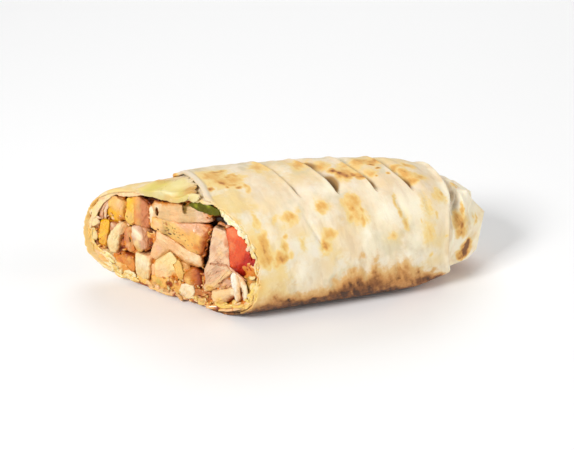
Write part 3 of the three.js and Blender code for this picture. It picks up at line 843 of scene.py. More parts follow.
class Nodes:
    """Short calls that build a material's node tree."""

    def __init__(self, name):
        self.material = bpy.data.materials.new(name)
        self.material.use_nodes = True
        self.tree = self.material.node_tree
        self.shader = self.tree.nodes["Principled BSDF"]
        coordinates = self.tree.nodes.new("ShaderNodeTexCoord")
        self.place = coordinates.outputs["Object"]

    def link(self, source, target):
        if isinstance(source, (int, float, tuple)):
            target.default_value = source
        else:
            self.tree.links.new(source, target)

    def attribute(self, name, output):
        node = self.tree.nodes.new("ShaderNodeAttribute")
        node.attribute_name = name
        return node.outputs[output]

    def value(self, name):
        return self.attribute(name, "Fac")

    def noise(self, size_mm, detail=3, stretch=(1, 1, 1), roughness=0.55, shift=0):
        mapping = self.tree.nodes.new("ShaderNodeMapping")
        mapping.inputs["Scale"].default_value = [1000 / size_mm * s for s in stretch]
        mapping.inputs["Location"].default_value = [shift, shift * 1.7, shift * 2.3]
        node = self.tree.nodes.new("ShaderNodeTexNoise")
        node.inputs["Scale"].default_value = 1
        node.inputs["Detail"].default_value = detail
        node.inputs["Roughness"].default_value = roughness
        self.link(self.place, mapping.inputs["Vector"])
        self.link(mapping.outputs["Vector"], node.inputs["Vector"])
        return node.outputs["Fac"]

    def range(self, source, low, high, to_low=0.0, to_high=1.0):
        node = self.tree.nodes.new("ShaderNodeMapRange")
        node.interpolation_type = "SMOOTHSTEP"
        self.link(source, node.inputs["Value"])
        ends = {"From Min": low, "From Max": high, "To Min": to_low, "To Max": to_high}
        for key, number in ends.items():
            node.inputs[key].default_value = number
        return node.outputs["Result"]

    def math(self, operation, a, b):
        node = self.tree.nodes.new("ShaderNodeMath")
        node.operation = operation
        node.use_clamp = True
        self.link(a, node.inputs[0])
        self.link(b, node.inputs[1])
        return node.outputs["Value"]

    def blend(self, a, b, factor, kind="MIX"):
        node = self.tree.nodes.new("ShaderNodeMix")
        node.data_type = "RGBA"
        node.blend_type = kind
        # A Mix node's colors are its sockets 6 and 7, and its color result is output 2.
        self.link(factor, node.inputs[0])
        self.link(a, node.inputs[6])
        self.link(b, node.inputs[7])
        return node.outputs[2]

    def bump(self, height, strength, distance_mm, normal=None):
        node = self.tree.nodes.new("ShaderNodeBump")
        node.inputs["Strength"].default_value = strength
        node.inputs["Distance"].default_value = distance_mm / 1000
        self.link(height, node.inputs["Height"])
        if normal is not None:
            self.link(normal, node.inputs["Normal"])
        return node.outputs["Normal"]

    def finish(self, color, roughness, normal=None, soft=0.0, soft_mm=(), **fixed):
        self.link(color, self.shader.inputs["Base Color"])
        self.link(roughness, self.shader.inputs["Roughness"])
        if normal is not None:
            self.link(normal, self.shader.inputs["Normal"])
        if soft:
            self.shader.inputs["Subsurface Weight"].default_value = soft
            self.shader.inputs["Subsurface Radius"].default_value = soft_mm
            self.shader.inputs["Subsurface Scale"].default_value = 0.001
        for key, number in fixed.items():
            self.shader.inputs[key.replace("_", " ")].default_value = number
        return self.material


def bread_material():
    """Thin baked dough: floury cream, mottled, toasted brown in spots, wet near the cut; with painted
    shade in the furrows, the end's valley and along the bottom edge, and painted light on the end.
    """
    n = Nodes("flatbread")
    grain = n.range(n.noise(1.1, 4, roughness=0.65), 0.3, 0.7, -0.045, 0.045)
    pressed_and_shadow = n.math("ADD", n.value("PressedAndShadow"), grain)
    toast = n.math("ADD", n.value("Toast"), grain)
    wet = n.value("Soaked")
    layers = (
        ((240, 219, 186), n.range(n.noise(9, 5, (1, 0.6, 0.6), roughness=0.62), 0.36, 0.66)),
        ((218, 209, 182), n.math("MULTIPLY", n.value("Grey"), 0.7)),
        ((242, 212, 138), n.math("MULTIPLY", n.value("Warm"), 0.8)),
        ((247, 238, 223), n.range(n.noise(10, 4, shift=4, roughness=0.6), 0.5, 0.68, 0.0, 0.85)),
        ((214, 190, 156), n.range(n.value("Streaks"), 0.2, 1.2, 0.0, 0.3)),
        # Floury white, which on the tucked end is painted light.
        ((255, 246, 222), n.math("MULTIPLY", n.value("FlourAndLight"), 0.8)),
        # Painted shade in the valley on the tucked end.
        ((158, 136, 108), n.math("MULTIPLY", n.value("ValleyShade"), 0.52)),
        # Pressed toast; the darkest also stands for painted shadow along the bottom edge by the floor.
        ((230, 188, 126), n.range(pressed_and_shadow, 0.04, 0.36)),
        ((204, 146, 82), n.range(pressed_and_shadow, 0.3, 0.62)),
        ((140, 88, 42), n.range(pressed_and_shadow, 0.56, 0.84)),
        ((70, 42, 22), n.range(pressed_and_shadow, 0.82, 1.02)),
        ((246, 216, 148), n.range(toast, 0.03, 0.28)),
        ((234, 182, 100), n.range(toast, 0.22, 0.56)),
        ((196, 132, 66), n.range(toast, 0.52, 0.84)),
        ((112, 66, 32), n.range(toast, 0.84, 1.06)),
        ((236, 224, 208), n.math("MULTIPLY", n.value("Lip"), 0.8)),
        # Painted shadow in the furrows.
        ((176, 136, 80), n.range(n.value("FurrowShadow"), 0.02, 0.45)),
        ((84, 60, 28), n.range(n.value("FurrowShadow"), 0.35, 0.95)),
        ((240, 196, 112), n.math("MULTIPLY", wet, 0.7)),
    )
    color = srgb(247, 234, 212)
    for tint, amount in layers:
        color = n.blend(color, srgb(*tint), amount)
    # Dough away from the floury patches, and from the painted light on the tucked end, is a little darker.
    color = n.blend(color, (0.92, 0.88, 0.80, 1), n.range(n.value("FlourAndLight"), 0, 1, 1.0, 0.4), "MULTIPLY")
    normal = n.bump(n.noise(0.7, 5, roughness=0.7), 0.35, 0.2)
    normal = n.bump(n.noise(2.6, 4, roughness=0.6), 0.35, 0.6, normal)
    return n.finish(color, n.range(wet, 0, 1, 0.72, 0.36), normal, soft=0.2, soft_mm=(2.0, 1.3, 0.7))


def food_material(name, roughness, soft, soft_mm, specks=0.0, coat=0.0, specular=0.5):
    """Painted food: the mesh carries the broad colors, the nodes add fine grain."""
    n = Nodes(name)
    color = n.attribute("Paint", "Color")
    grain = n.range(n.noise(1.1, 4), 0.3, 0.7)
    color = n.blend(color, (1.0, 0.93, 0.82, 1), n.math("MULTIPLY", grain, 0.35), "MULTIPLY")
    if specks:
        marks = n.range(n.noise(0.8, 2, shift=9), 0.68, 0.74, 0.0, specks)
        color = n.blend(color, srgb(120, 66, 26), marks)
    normal = n.bump(n.value("Fibres"), 0.3, 0.2)
    normal = n.bump(n.noise(0.55, 4, roughness=0.65), 0.3, 0.14, normal)
    shine = n.range(n.noise(2.2, 3, shift=5), 0.32, 0.68, roughness - 0.1, roughness + 0.12)
    return n.finish(color, shine, normal, soft=soft, soft_mm=soft_mm, Coat_Weight=coat,
                    Coat_Roughness=0.15, Specular_IOR_Level=specular)


MATERIALS = {
    "flatbread": bread_material(),
    "filling": food_material("filling", 0.34, 0.15, (1.6, 0.8, 0.4), coat=0.2),
    "chicken": food_material("chicken", 0.4, 0.12, (1.4, 0.7, 0.4), specks=0.4, coat=0.1),
    "tomato": food_material("tomato", 0.34, 0.25, (2.0, 0.6, 0.3), coat=0.05, specular=0.35),
    "cucumber": food_material("cucumber", 0.5, 0.05, (0.9, 0.9, 0.2), specular=0.15),
    "onion": food_material("onion", 0.3, 0.35, (1.8, 1.6, 1.2), coat=0.2),
    "pepper": food_material("pepper", 0.3, 0.3, (2.0, 1.2, 0.4), coat=0.3),
    "lettuce": food_material("lettuce", 0.36, 0.3, (1.3, 1.5, 0.6), coat=0.15),
}


# ---- The filling's pieces -------------------------------------------------------------------

# The colors of food, as red, green and blue from 0 to 255.
COLORS = {
    "white": (252, 240, 212), "onion": (252, 248, 242), "cream": (248, 218, 172),
    "lemon": (248, 224, 164), "pear": (250, 234, 188), "straw": (244, 204, 118),
    "peach": (247, 202, 152), "pale": (238, 206, 176), "pink": (236, 186, 150),
    "salmon": (216, 142, 98), "mauve": (206, 148, 112), "tan": (226, 172, 104),
    "gold": (246, 196, 108), "honey": (234, 158, 68), "yellow": (246, 190, 24),
    "bright": (255, 216, 74), "amber": (226, 138, 40), "orange": (210, 118, 48),
    "rust": (196, 122, 58), "sienna": (158, 68, 22), "brown": (102, 48, 16), "dark": (36, 12, 5),
    "olive": (132, 104, 34), "olive_pale": (206, 184, 92), "corn": (248, 214, 110),
    "tomato": (230, 92, 44), "red": (202, 42, 20), "deep_red": (150, 18, 8), "green": (94, 96, 8),
    "green_light": (150, 160, 40), "leaf": (246, 226, 142), "leaf_pale": (252, 240, 176),
    # The crevice color is sauce brown that also serves as painted shade deep in the crevices.
    "leaf_light": (255, 250, 222), "leaf_green": (230, 216, 118), "crevice": (182, 110, 52),
    "rose": (216, 172, 146), "coral": (240, 134, 84), "sand": (228, 196, 148),
    "toffee": (204, 130, 46), "moss": (190, 148, 64),
}


# Food is painted a little darker and warmer than it looks in this light.
FOOD_TINT = np.array([0.86, 0.83, 0.76])


def paint(name):
    return np.array(srgb(*COLORS[name])[:3]) * FOOD_TINT


CUT_MIDDLE = np.array([0, 24.0])     # across and height
GRID = 0.34                          # spacing of a piece's points
PRESSED_TOGETHER = 0.42              # how far each piece swells past its outline
ROUNDING, WOBBLE = 0.55, 0.16        # how far corners are softened, and how uneven outlines are


def rounded(corners, seed):
    """A dense closed outline through corners, softened and a little uneven."""
    corners = np.array(corners, float)
    closed = np.concatenate([corners, corners[:1]])
    lengths = run_lengths(closed)
    count = max(int(lengths[-1] / 0.12), 64)
    at = np.linspace(0, lengths[-1], count, endpoint=False)
    dense = np.stack([np.interp(at, lengths, closed[:, k]) for k in (0, 1)], -1)
    waves = np.fft.fftfreq(count, lengths[-1] / count)
    soften = np.exp(-2 * (math.pi * waves * ROUNDING) ** 2)[:, None]
    smooth = np.real(np.fft.ifft(np.fft.fft(dense, axis=0) * soften, axis=0))
    along = np.roll(smooth, -1, 0) - np.roll(smooth, 1, 0)
    sideways = np.stack([along[:, 1], -along[:, 0]], -1) / np.linalg.norm(along, axis=1)[:, None]
    place = np.stack([smooth[:, 0], smooth[:, 1], np.full(count, seed * 3.7)], -1)
    outwards = 1 if np.sum(smooth[:, 0] * along[:, 1]) > 0 else -1
    swell = outwards * PRESSED_TOGETHER + WOBBLE * fractal(place, 1.9, 3, seed=seed)
    keep = np.linspace(0, count, max(int(lengths[-1] / GRID), 24), endpoint=False).astype(int)
    return (smooth + sideways * swell[:, None])[keep]


def vertex_normals(points, faces):
    total = np.zeros_like(points)
    for group in faces:
        a, b, c = points[group[:, 0]], points[group[:, 1]], points[group[:, -1]]
        normal = np.cross(b - a, c - a)
        for corner in group.T:
            for k in range(3):
                total[:, k] += np.bincount(corner, normal[:, k], len(points))
    return total / np.maximum(np.linalg.norm(total, axis=1, keepdims=True), 1e-9)


# The direction of sight, as steps across and up for each mm behind the cut.
SIGHT = (-0.65, -0.62)


def behind_cut(across, height, depth):
    """Points that far behind places on the cut face, in the direction of sight."""
    seen = [across + SIGHT[0] * depth, depth + 0 * across, height + SIGHT[1] * depth]
    return from_cut(np.stack(seen, -1))


def towards(across, height, degrees):
    """How far a place lies from the middle in a direction on the cut face."""
    angle = math.radians(degrees)
    return across * math.cos(angle) + height * math.sin(angle)


def beside(points, start, end):
    """How far places on the cut face lie from a line between two of them."""
    run = np.array(end, float) - start
    t = np.clip(((points - start) @ run) / (run @ run), 0, 1)
    return np.linalg.norm(points - start - t[:, None] * run, axis=1)


# What colors are multiplied by on a piece's painted lit and shaded side, and by juice and spice.
PAINTED_LIT_SIDE, PAINTED_SHADED_SIDE = np.array([1.02, 1.02, 1.03]), np.array([0.9, 0.79, 0.64])
JUICE, TINGE = np.array([0.95, 0.74, 0.46]), np.array([0.98, 0.84, 0.66])
STREAK = np.array([0.97, 0.87, 0.78])


def piece_grid(outline, middle, length, edge):
    """A piece's points in rings over its cut face, with a rounded edge, then in loops behind it.

    They come as places on the cut, how far they lie behind the face, and how many loops.
    """
    spoke = outline - middle
    width = np.linalg.norm(spoke, axis=1)
    rings = max(int(width.max() / GRID), 8)
    shares = np.linspace(0.04, 1, rings)[:, None]
    face = middle + shares[..., None] * spoke
    bevel = np.maximum(edge - (1 - shares) * width, 0)
    round_off = edge - np.sqrt(np.maximum(edge ** 2 - bevel ** 2, 0))
    runs = np.cumsum(GRID * 1.12 ** np.arange(40))
    runs = np.concatenate([runs[runs < length], [length]])
    bulge = 0.5 * np.sin(np.clip(runs / 8, 0, 1) * math.pi) - 0.12 * runs
    sides = outline + spoke / width[:, None] * bulge[:, None, None] * 0.5
    plan = np.concatenate([face.reshape(-1, 2), sides.reshape(-1, 2)])
    behind = np.concatenate([round_off.ravel(), np.repeat(edge + runs, len(outline))])
    return plan, behind, rings + len(runs)


def carved(plan, behind, color, middle, reach, seed, facets=(), stains=(), holes=(), marks=()):
    """How far places on a piece are set back from its face, and their colors.

    Facets are (direction it falls in, ridge across, ridge height, slope, color); a facet's color
    is partly the food's own and partly painted shade on faces that turn from the light.
    Stains are (across, height, radius, color), holes are (across, height, half width, half height,
    depth, color) and marks are (from, to, half width, depth, color).
    """
    across, height = plan.T
    shade = np.broadcast_to(paint(color), (len(plan), 3)).copy()
    uneven = np.stack([across, height, behind], -1)
    wavy = fractal(uneven, 3.2, 3, seed=seed + 3)
    ragged = fractal(uneven, 1.4, 3, seed=seed + 4)
    set_back = 0 * across
    for degrees, w, z, slope, tint in facets:
        fall = towards(across - w, height - z, degrees) + 0.3 * wavy
        drop = slope * 0.5 * (fall + np.sqrt(fall ** 2 + 0.5))
        # A facet's tint is partly painted shade where the face turns from the light.
        if tint:
            shade = mix(shade, paint(tint), smoothstep(fall + 0.5 * ragged, -0.9, 1.7)[:, None])
        set_back = np.maximum(set_back, drop)
    for w, z, radius, tint in stains:
        distance = np.hypot(across - w, height - z) / radius + 0.4 * wavy + 0.15 * ragged
        shade = mix(shade, paint(tint), (1 - smoothstep(distance, 0.1, 1.5))[:, None] * 0.9)
    # Painted light and shade: each piece is paler on its upper left, towards the light, and darker and
    # browner towards its lower right.
    low = (0.45 * (across - middle[0]) - 0.9 * (height - middle[1])) / reach
    shade = shade * mix(PAINTED_LIT_SIDE, PAINTED_SHADED_SIDE, smoothstep(low + 0.35 * wavy, -0.9, 1.3)[:, None])
    for w, z, half_width, half_height, depth, tint in holes:
        distance = np.hypot((across - w) / half_width, (height - z) / half_height) + 0.15 * wavy
        inside = 1 - smoothstep(distance, 0.6, 1.15)
        set_back = set_back + depth * inside
        shade = mix(shade, paint(tint), inside[:, None])
    for start, end, half, depth, tint in marks:
        inside = 1 - smoothstep(beside(plan, start, end) + 0.3 * half * ragged, 0.3 * half, 1.3 * half)
        set_back = set_back + depth * inside
        shade = mix(shade, paint(tint), 0.9 * inside[:, None])
    return set_back, shade


def seasoned(shade, points, behind, edge, sauce, seed, fibres, turned):
    """A piece's colors with juice and painted shade in the crevices round it, and blotches and streaks on
    it.
    """
    wet = sauce * smoothstep(behind, edge * 0.4, edge + 3) * (0.7 + 0.6 * noise(points, 2.5, seed=23))
    shade = shade * mix(1, JUICE, np.clip(wet, 0, 1)[:, None])
    # Painted shade: further behind the cut the color turns to the crevice's dark sauce brown.
    deep = smoothstep(behind, edge + 0.6, edge + 5)
    shade = mix(shade, paint("crevice"), np.clip(deep * 1.2 - 0.2, 0, 0.85)[:, None])
    blotch = fractal(points, 2.6, 3, seed=seed + 13)
    tinge = fractal(points, 1.6, 3, seed=seed + 19)
    streaks = fractal(turned * np.array([0.16, 1, 0.5]), 1.5, 3, seed=seed + 17)
    shade = shade * (1 + 0.07 * blotch + 0.07 * fibres)[:, None]
    shade = shade * mix(1, TINGE, np.clip(0.6 * tinge, 0, 0.8)[:, None])
    return shade * mix(1, STREAK, np.clip(0.34 * streaks, 0, 0.8)[:, None])


def cut_piece(name, slot, node, color, corners, back=0.8, length=14, edge=1.3, fibre=60, grain=0.1,
              center=None, seed=1, sauce=0.55, lean=None, **details):
    """A piece of filling that was cut through with the wrap.

    Its corners lie on the cut face, and it starts that far back from it. The edge is the radius
    of its rim, fibre and grain are its fibres' direction and height, and lean is how far it moves
    across and up for each mm behind the cut. The details are what carved() takes.
    """
    outline = rounded(corners, seed)
    middle = np.array(center if center else outline.mean(0))
    reach = np.linalg.norm(outline - middle, axis=1).max()
    plan, behind, loops = piece_grid(outline, middle, length, edge)
    set_back, shade = carved(plan, behind, color, middle, reach, seed, **details)
    if lean is None:
        lean = (mix(0.6, -0.5, smoothstep(middle[0], -36, -12)), -0.4 * smoothstep(middle[1], 8, 26))
    fade = 1 - smoothstep(behind, edge + 2, edge + 8)
    front = back + np.minimum(behind, edge) + set_back * fade
    run = np.maximum(behind - edge, 0)
    points = behind_cut(*plan.T, front) + from_cut(np.stack([lean[0] * run, run, lean[1] * run], -1))
    around = len(outline)
    hub = behind_cut(*middle, np.array(back + set_back[:around].mean()))
    points = np.concatenate([points, [hub, points[-around:].mean(0)]])
    shade = np.concatenate([shade, shade[:1], shade[-1:]])
    behind = np.concatenate([behind, [0, length]])
    faces = outward(points, loft_faces(loops, around))
    across, deep, high = cut_place(points).T
    turned = np.stack([towards(across, high, fibre), towards(high, -across, fibre), deep], -1)
    fibres = fractal(turned * np.array([0.2, 1, 0.5]), 0.85, 3, seed=seed + 5, gain=0.6)
    lumps = 0.3 * noise(points, 3.4, seed=seed + 7) + 0.12 * fractal(points, 1.3, 2, seed=seed + 11)
    points = points + vertex_normals(points, faces) * (lumps + grain * fibres)[:, None]
    points = kept_inside(points, mix(0.2, 1.05, smoothstep(behind, 1, 6)))
    shade = seasoned(shade, points, behind, edge, sauce, seed, fibres, turned)
    to_object(name, points, faces, slot, [node], {"Fibres": fibres}, colors=np.clip(shade, 0, 1))


STRAND_STEP = 0.35


def smooth_path(path):
    """Evenly spaced points on a curve through the given ones."""
    path = np.array(path, float)
    ends = np.concatenate([[2 * path[0] - path[1]], path, [2 * path[-1] - path[-2]]])
    t = np.linspace(0, 1, 24, endpoint=False)[:, None]
    pieces = []
    for a, b, c, d in zip(ends, ends[1:], ends[2:], ends[3:]):
        pieces.append(0.5 * (2 * b + (c - a) * t + (2 * a - 5 * b + 4 * c - d) * t ** 2
                             + (3 * b - a - 3 * c + d) * t ** 3))
    dense = np.concatenate(pieces + [path[-1:]])
    lengths = run_lengths(dense)
    at = np.linspace(0, lengths[-1], max(int(lengths[-1] / STRAND_STEP), 6))
    return np.stack([np.interp(at, lengths, dense[:, k]) for k in range(3)], -1)


def in_front(points):
    """Points near the cut face, kept within the bread and hardly proud of the knife's plane."""
    place = cut_place(points)
    place[:, 1] = np.where(place[:, 1] < 0, 0.4 * place[:, 1], place[:, 1])
    return kept_inside(from_cut(place), 0.05)


def strands(name, slot, node, rows):
    """Shreds and ribbons on the cut face.

    Each row is (width, thickness, turn in degrees, color, second color, path of (across, behind,
    height)).
    """
    around = 14
    cluster = Cluster()
    cut_normal = from_cut(np.array([0.0, -1.0, 0.0]))
    angle = np.linspace(0, 2 * math.pi, around, endpoint=False)
    for k, (width, thickness, turn, color, other, path) in enumerate(rows):
        middle = from_cut(smooth_path(path))
        steps = len(middle)
        tangent = np.gradient(middle, axis=0)
        tangent = tangent / np.linalg.norm(tangent, axis=1, keepdims=True)
        side = np.cross(tangent, cut_normal)
        side = side / np.linalg.norm(side, axis=1, keepdims=True)
        top = np.cross(side, tangent)
        still = 0 * tangent[:, 0]
        place = np.stack([np.arange(steps) * STRAND_STEP, still + 7 * k, still], -1)
        twist = (math.radians(turn) + 0.5 * noise(place, 4, seed=83))[:, None]
        u = np.linspace(-1, 1, steps)
        taper = np.sqrt(np.maximum(1 - np.abs(u) ** 3, 0.02)) * (1 + 0.22 * fractal(place, 2.5, 3, seed=81))
        a = np.cos(twist) * side + np.sin(twist) * top
        b = np.cos(twist) * top - np.sin(twist) * side
        taper = taper[:, None, None]
        ring = (middle[:, None] + a[:, None] * (np.cos(angle) * width / 2)[None, :, None] * taper
                + b[:, None] * (np.sin(angle) * thickness / 2)[None, :, None] * taper)
        bit = np.concatenate([ring.reshape(-1, 3), [ring[0].mean(0), ring[-1].mean(0)]])
        bit = in_front(bit + 0.12 * fractal(bit, 1.2, 2, seed=85 + k)[:, None])
        along = np.concatenate([np.repeat(place, around, 0), place[:1], place[-1:]])
        patch = fractal(along, 3.5, 2, seed=87) + 0.6 * fractal(bit, 1.2, 2, seed=88)
        shade = mix(paint(color), paint(other), smoothstep(patch, -0.3, 0.5)[:, None])
        cluster.add(bit, loft_faces(steps, around), shade, fractal(along, 1.0, 2, seed=89))
    cluster.to_object(name, slot, node)


def inside_rim(place, margin):
    """A place on the cut face, moved in where it lies too near the bread's outline or past it."""
    phi = np.linspace(0, 2 * math.pi, 361)
    outline = cut_place(section(rim_x(phi), phi))[:, [0, 2]] - CUT_MIDDLE
    turn = np.unwrap(np.arctan2(outline[:, 1], outline[:, 0])) % (2 * math.pi)
    reach = np.linalg.norm(outline, axis=1)
    order = np.argsort(turn)
    spoke = place - CUT_MIDDLE
    angle = math.atan2(spoke[1], spoke[0]) % (2 * math.pi)
    limit = np.interp(angle, turn[order], reach[order], period=2 * math.pi) - margin
    return CUT_MIDDLE + spoke * min(1, limit / np.linalg.norm(spoke))


def fringe(rows, seed):
    """Short torn ribbons, as rows for strands(). Each row is (from, to, how many, length, width,
    behind, spread, colors)."""
    draw = np.random.default_rng(seed)
    ribbons = []
    for start, end, many, length, width, behind, spread, colors in rows:
        start, end = np.array(start, float), np.array(end, float)
        heading = math.atan2(*(end - start)[::-1])
        for _ in range(many):
            middle = mix(start, end, draw.random()) + draw.normal(0, spread, 2)
            turn = heading + draw.normal(0, 0.5)
            half = length * draw.uniform(0.5, 1.3) / 2
            step = half * np.array([math.cos(turn), math.sin(turn)])
            bend = draw.normal(0, 0.25) * np.array([-step[1], step[0]])
            depth = behind + draw.normal(0, 0.25, 3)
            breadth = width * draw.uniform(0.6, 1.4)
            places = [inside_rim(p, 0.4 * breadth) for p in (middle - step, middle + bend, middle + step)]
            path = [(p[0], d, p[1]) for p, d in zip(places, depth + np.array([0.4, 0, 0.4]))]
            color, other = draw.integers(len(colors), size=2)
            ribbons.append((breadth, 0.7, draw.normal(0, 25), colors[color], colors[other], path))
    return ribbons


def crumbs(name, slot, node, rows, seed):
    """Small torn bits. Each row is (from, to, how many, size, behind, spread, colors)."""
    draw = np.random.default_rng(seed)
    around, loops = 12, 8
    angle = np.linspace(0, 2 * math.pi, around, endpoint=False)
    tilt = np.linspace(-0.42 * math.pi, 0.42 * math.pi, loops)
    ball = np.stack([np.cos(tilt)[:, None] * np.cos(angle), np.cos(tilt)[:, None] * np.sin(angle),
                     np.sin(tilt)[:, None] + 0 * angle], -1).reshape(-1, 3)
    ball = np.concatenate([ball, [[0, 0, -1], [0, 0, 1]]])
    cluster = Cluster()
    for start, end, many, size, behind, spread, colors in rows:
        for _ in range(many):
            t, turn = draw.random(), draw.random(3) * 2 * math.pi
            scale = size * draw.uniform(0.55, 1.35)
            scale = scale * np.array([1, draw.uniform(0.5, 1), draw.uniform(0.35, 0.8)])
            rough = 1 + 0.4 * fractal(ball + 11 * draw.random(3), 1.1, 2, seed=91)
            c, s = np.cos(turn), np.sin(turn)
            spin = (np.array([[c[0], -s[0], 0], [s[0], c[0], 0], [0, 0, 1]])
                    @ np.array([[1, 0, 0], [0, c[1], -s[1]], [0, s[1], c[1]]]))
            bit = (ball * rough[:, None] * scale / 2) @ spin.T
            center = mix(np.array(start, float), np.array(end, float), t) + draw.normal(0, spread, 2)
            center = inside_rim(center, size * 0.45)
            place = np.array([center[0], behind + draw.normal(0, 0.35), center[1]])
            bit = in_front(bit + from_cut(place))
            shade = paint(colors[draw.integers(len(colors))]) * draw.uniform(0.85, 1.08)
            cluster.add(bit, loft_faces(loops, around), np.broadcast_to(shade, bit.shape))
    cluster.to_object(name, slot, node)


# The dark hollows of the core: from one place on the cut face to another, half width and depth.
# The dark and brown ones are painted shade in the hollows.
GAPS = (
    ((21, 38.5), (18.2, 30), 1.7, 5, "dark"), ((18.2, 30), (16.6, 21), 1.7, 5, "dark"),
    ((14, 40.4), (22, 42.5), 1.2, 5, "dark"), ((22, 44), (27, 46.2), 2.3, 5, "dark"),
    ((27, 45.4), (31, 44), 1.7, 4, "dark"), ((-14, 44.6), (-10.4, 41.8), 0.9, 3, "brown"),
    ((-10.4, 41), (-10.2, 32), 0.7, 3, "brown"), ((-15.4, 30.4), (-10, 30.6), 0.8, 3, "brown"),
    ((-20.5, 29.6), (-18, 29.4), 0.9, 3, "dark"), ((-12, 21.6), (-9.8, 21), 1.6, 5, "brown"),
    ((-15.4, 18.2), (-9, 24), 0.8, 4, "brown"), ((-9, 16.6), (-4, 20.6), 0.6, 3, "brown"),
    ((3.4, 20.4), (6.6, 19.2), 0.8, 4, "dark"), ((10, 18.8), (14, 18.8), 0.9, 4, "dark"),
    ((34.9, 16), (35.3, 11), 0.9, 4, "brown"), ((29.8, 20), (31.4, 22.4), 0.6, 4, "brown"),
    ((-24.6, 41.6), (-22.6, 41.2), 1.0, 4, "brown"), ((0.8, 17.4), (4.6, 11.2), 0.4, 2, "brown"),
    ((38.6, 19.4), (39, 13), 0.8, 4, "brown"), ((-26, 15.6), (-24.2, 15.2), 1.2, 2, "sienna"),
    ((-41, 21.6), (-39.4, 16.6), 1.6, 1.5, "orange"), ((-36.4, 14.4), (-35.6, 15), 1.0, 1, "sienna"),
    ((-22.2, 43.4), (-10, 45.8), 0.6, 3, "brown"), ((-8.6, 46), (6, 48), 0.7, 3, "brown"),
)


def filling_core():
    """Sauced small bits that fill the bread behind the larger pieces."""
    around, step = 400, 0.45
    phi = even_phi(around)
    reach = lining(phi) - 0.08
    rim = rim_x(phi, reach)
    outline = cut_place(section(rim, phi, 0, reach))[:, [0, 2]]
    spoke = outline - CUT_MIDDLE
    lengths = np.linalg.norm(spoke, axis=1)
    rings = int(lengths.max() / step)
    shares = np.linspace(0.02, 1, rings)
    plan = (CUT_MIDDLE + shares[:, None, None] * spoke).reshape(-1, 2)
    across, height = plan[:, 0], plan[:, 1]
    place = np.stack([across, height, 0 * across], -1)
    lumps = fractal(place, 4.5, 2, seed=61) + 0.8 * fractal(place, 2, 3, seed=63)
    edge = ((1 - shares)[:, None] * lengths[None, :]).ravel()
    # Round the side and the bottom the filling swells out to the cut edge of the bread.
    spilled = np.tile(1 - smoothstep(np.sin(phi), 0.35, 0.7), rings) * (1 - smoothstep(edge, 0.4, 4.5))
    spilled = spilled * (1 - smoothstep(across, 28, 34) * smoothstep(height, 15, 21))
    base = mix(CORE_BEHIND, 0.5, spilled) - 0.8 * lumps * mix(1, 0.6, spilled)
    seen = plan - np.array(SIGHT) * CORE_BEHIND * (1 - spilled)[:, None]
    shade = np.broadcast_to(paint("amber"), (len(plan), 3)).copy()
    mixed = fractal(place, 3.2, 3, seed=67)
    # Where the core lies deeper it turns sienna and then brown: sauce, and painted shade in its hollows.
    shade = mix(shade, paint("sienna"), smoothstep(-lumps, -0.2, 0.7)[:, None])
    shade = mix(shade, paint("gold"), (0.9 * smoothstep(mixed, 0.25, 0.5))[:, None])
    shade = mix(shade, paint("brown"), smoothstep(-lumps, 0.6, 1.2)[:, None])
    pale = mix(paint("straw"), paint("peach"), smoothstep(mixed, -0.4, 0.4)[:, None])
    shade = mix(shade, pale, (spilled * smoothstep(lumps + mixed, -0.9, 0.1))[:, None])
    extra = 0 * across
    # Each gap sets the core back and paints it; dark and brown gaps are painted shade.
    for start, end, width, depth, tint in GAPS:
        inside = 1 - smoothstep(beside(seen, start, end), width * 0.8, width * 1.5)
        extra = np.maximum(extra, depth * inside)
        shade = mix(shade, paint(tint), (0.95 * inside)[:, None])
    slope = 1 / math.tan(CUT_ANGLE)
    cap = from_cut(np.stack([across + slope * base + SIGHT[0] * extra, base + extra,
                             height + SIGHT[1] * extra], -1))
    begin = rim + base[-around:].mean() / math.sin(CUT_ANGLE) + 1
    runs = [mix(begin, 0 * rim + CORE_END, t ** 1.5) for t in np.linspace(0, 1, 16)]
    walls = [section(x, phi, under_furrows(x, phi), reach) for x in runs]
    points = np.concatenate([cap] + walls)
    ends = np.stack([cap[:around].mean(0), walls[-1].mean(0)])
    points = np.concatenate([points, ends])
    faces = outward(points, loft_faces(rings + len(walls), around))
    rest = len(points) - len(shade)
    shade = np.concatenate([shade, np.broadcast_to(paint("amber"), (rest, 3))])
    to_object("filling_core", points, faces, "filling", ["filling"],
              {"Fibres": 0 * points[:, 0]}, colors=shade)


# Leaves over the bare inner sheet's edge. Each row is degrees round the rim, how far it reaches
# back from the cut and how far it hangs over the edge, in mm; lift and color go with all its rows.
LEAVES = (
    (((107, 1.2, 0.2), (105, 3.6, 0.8), (102, 8.6, 1.8), (98, 10.4, 2.6), (94, 10.2, 2.8), (90, 8.6, 2.6),
      (87, 7.2, 2.4), (84, 5.4, 2.2), (80, 3.6, 1.8), (78, 1.6, 0.4)), 0.1, "leaf"),
    (((79, 0.4, 1.2), (77.6, 1.2, 2.6), (75.6, 1.5, 3.0), (73.6, 1.0, 2.2), (72.4, 0.4, 0.8)), 0.3, "leaf"),
)


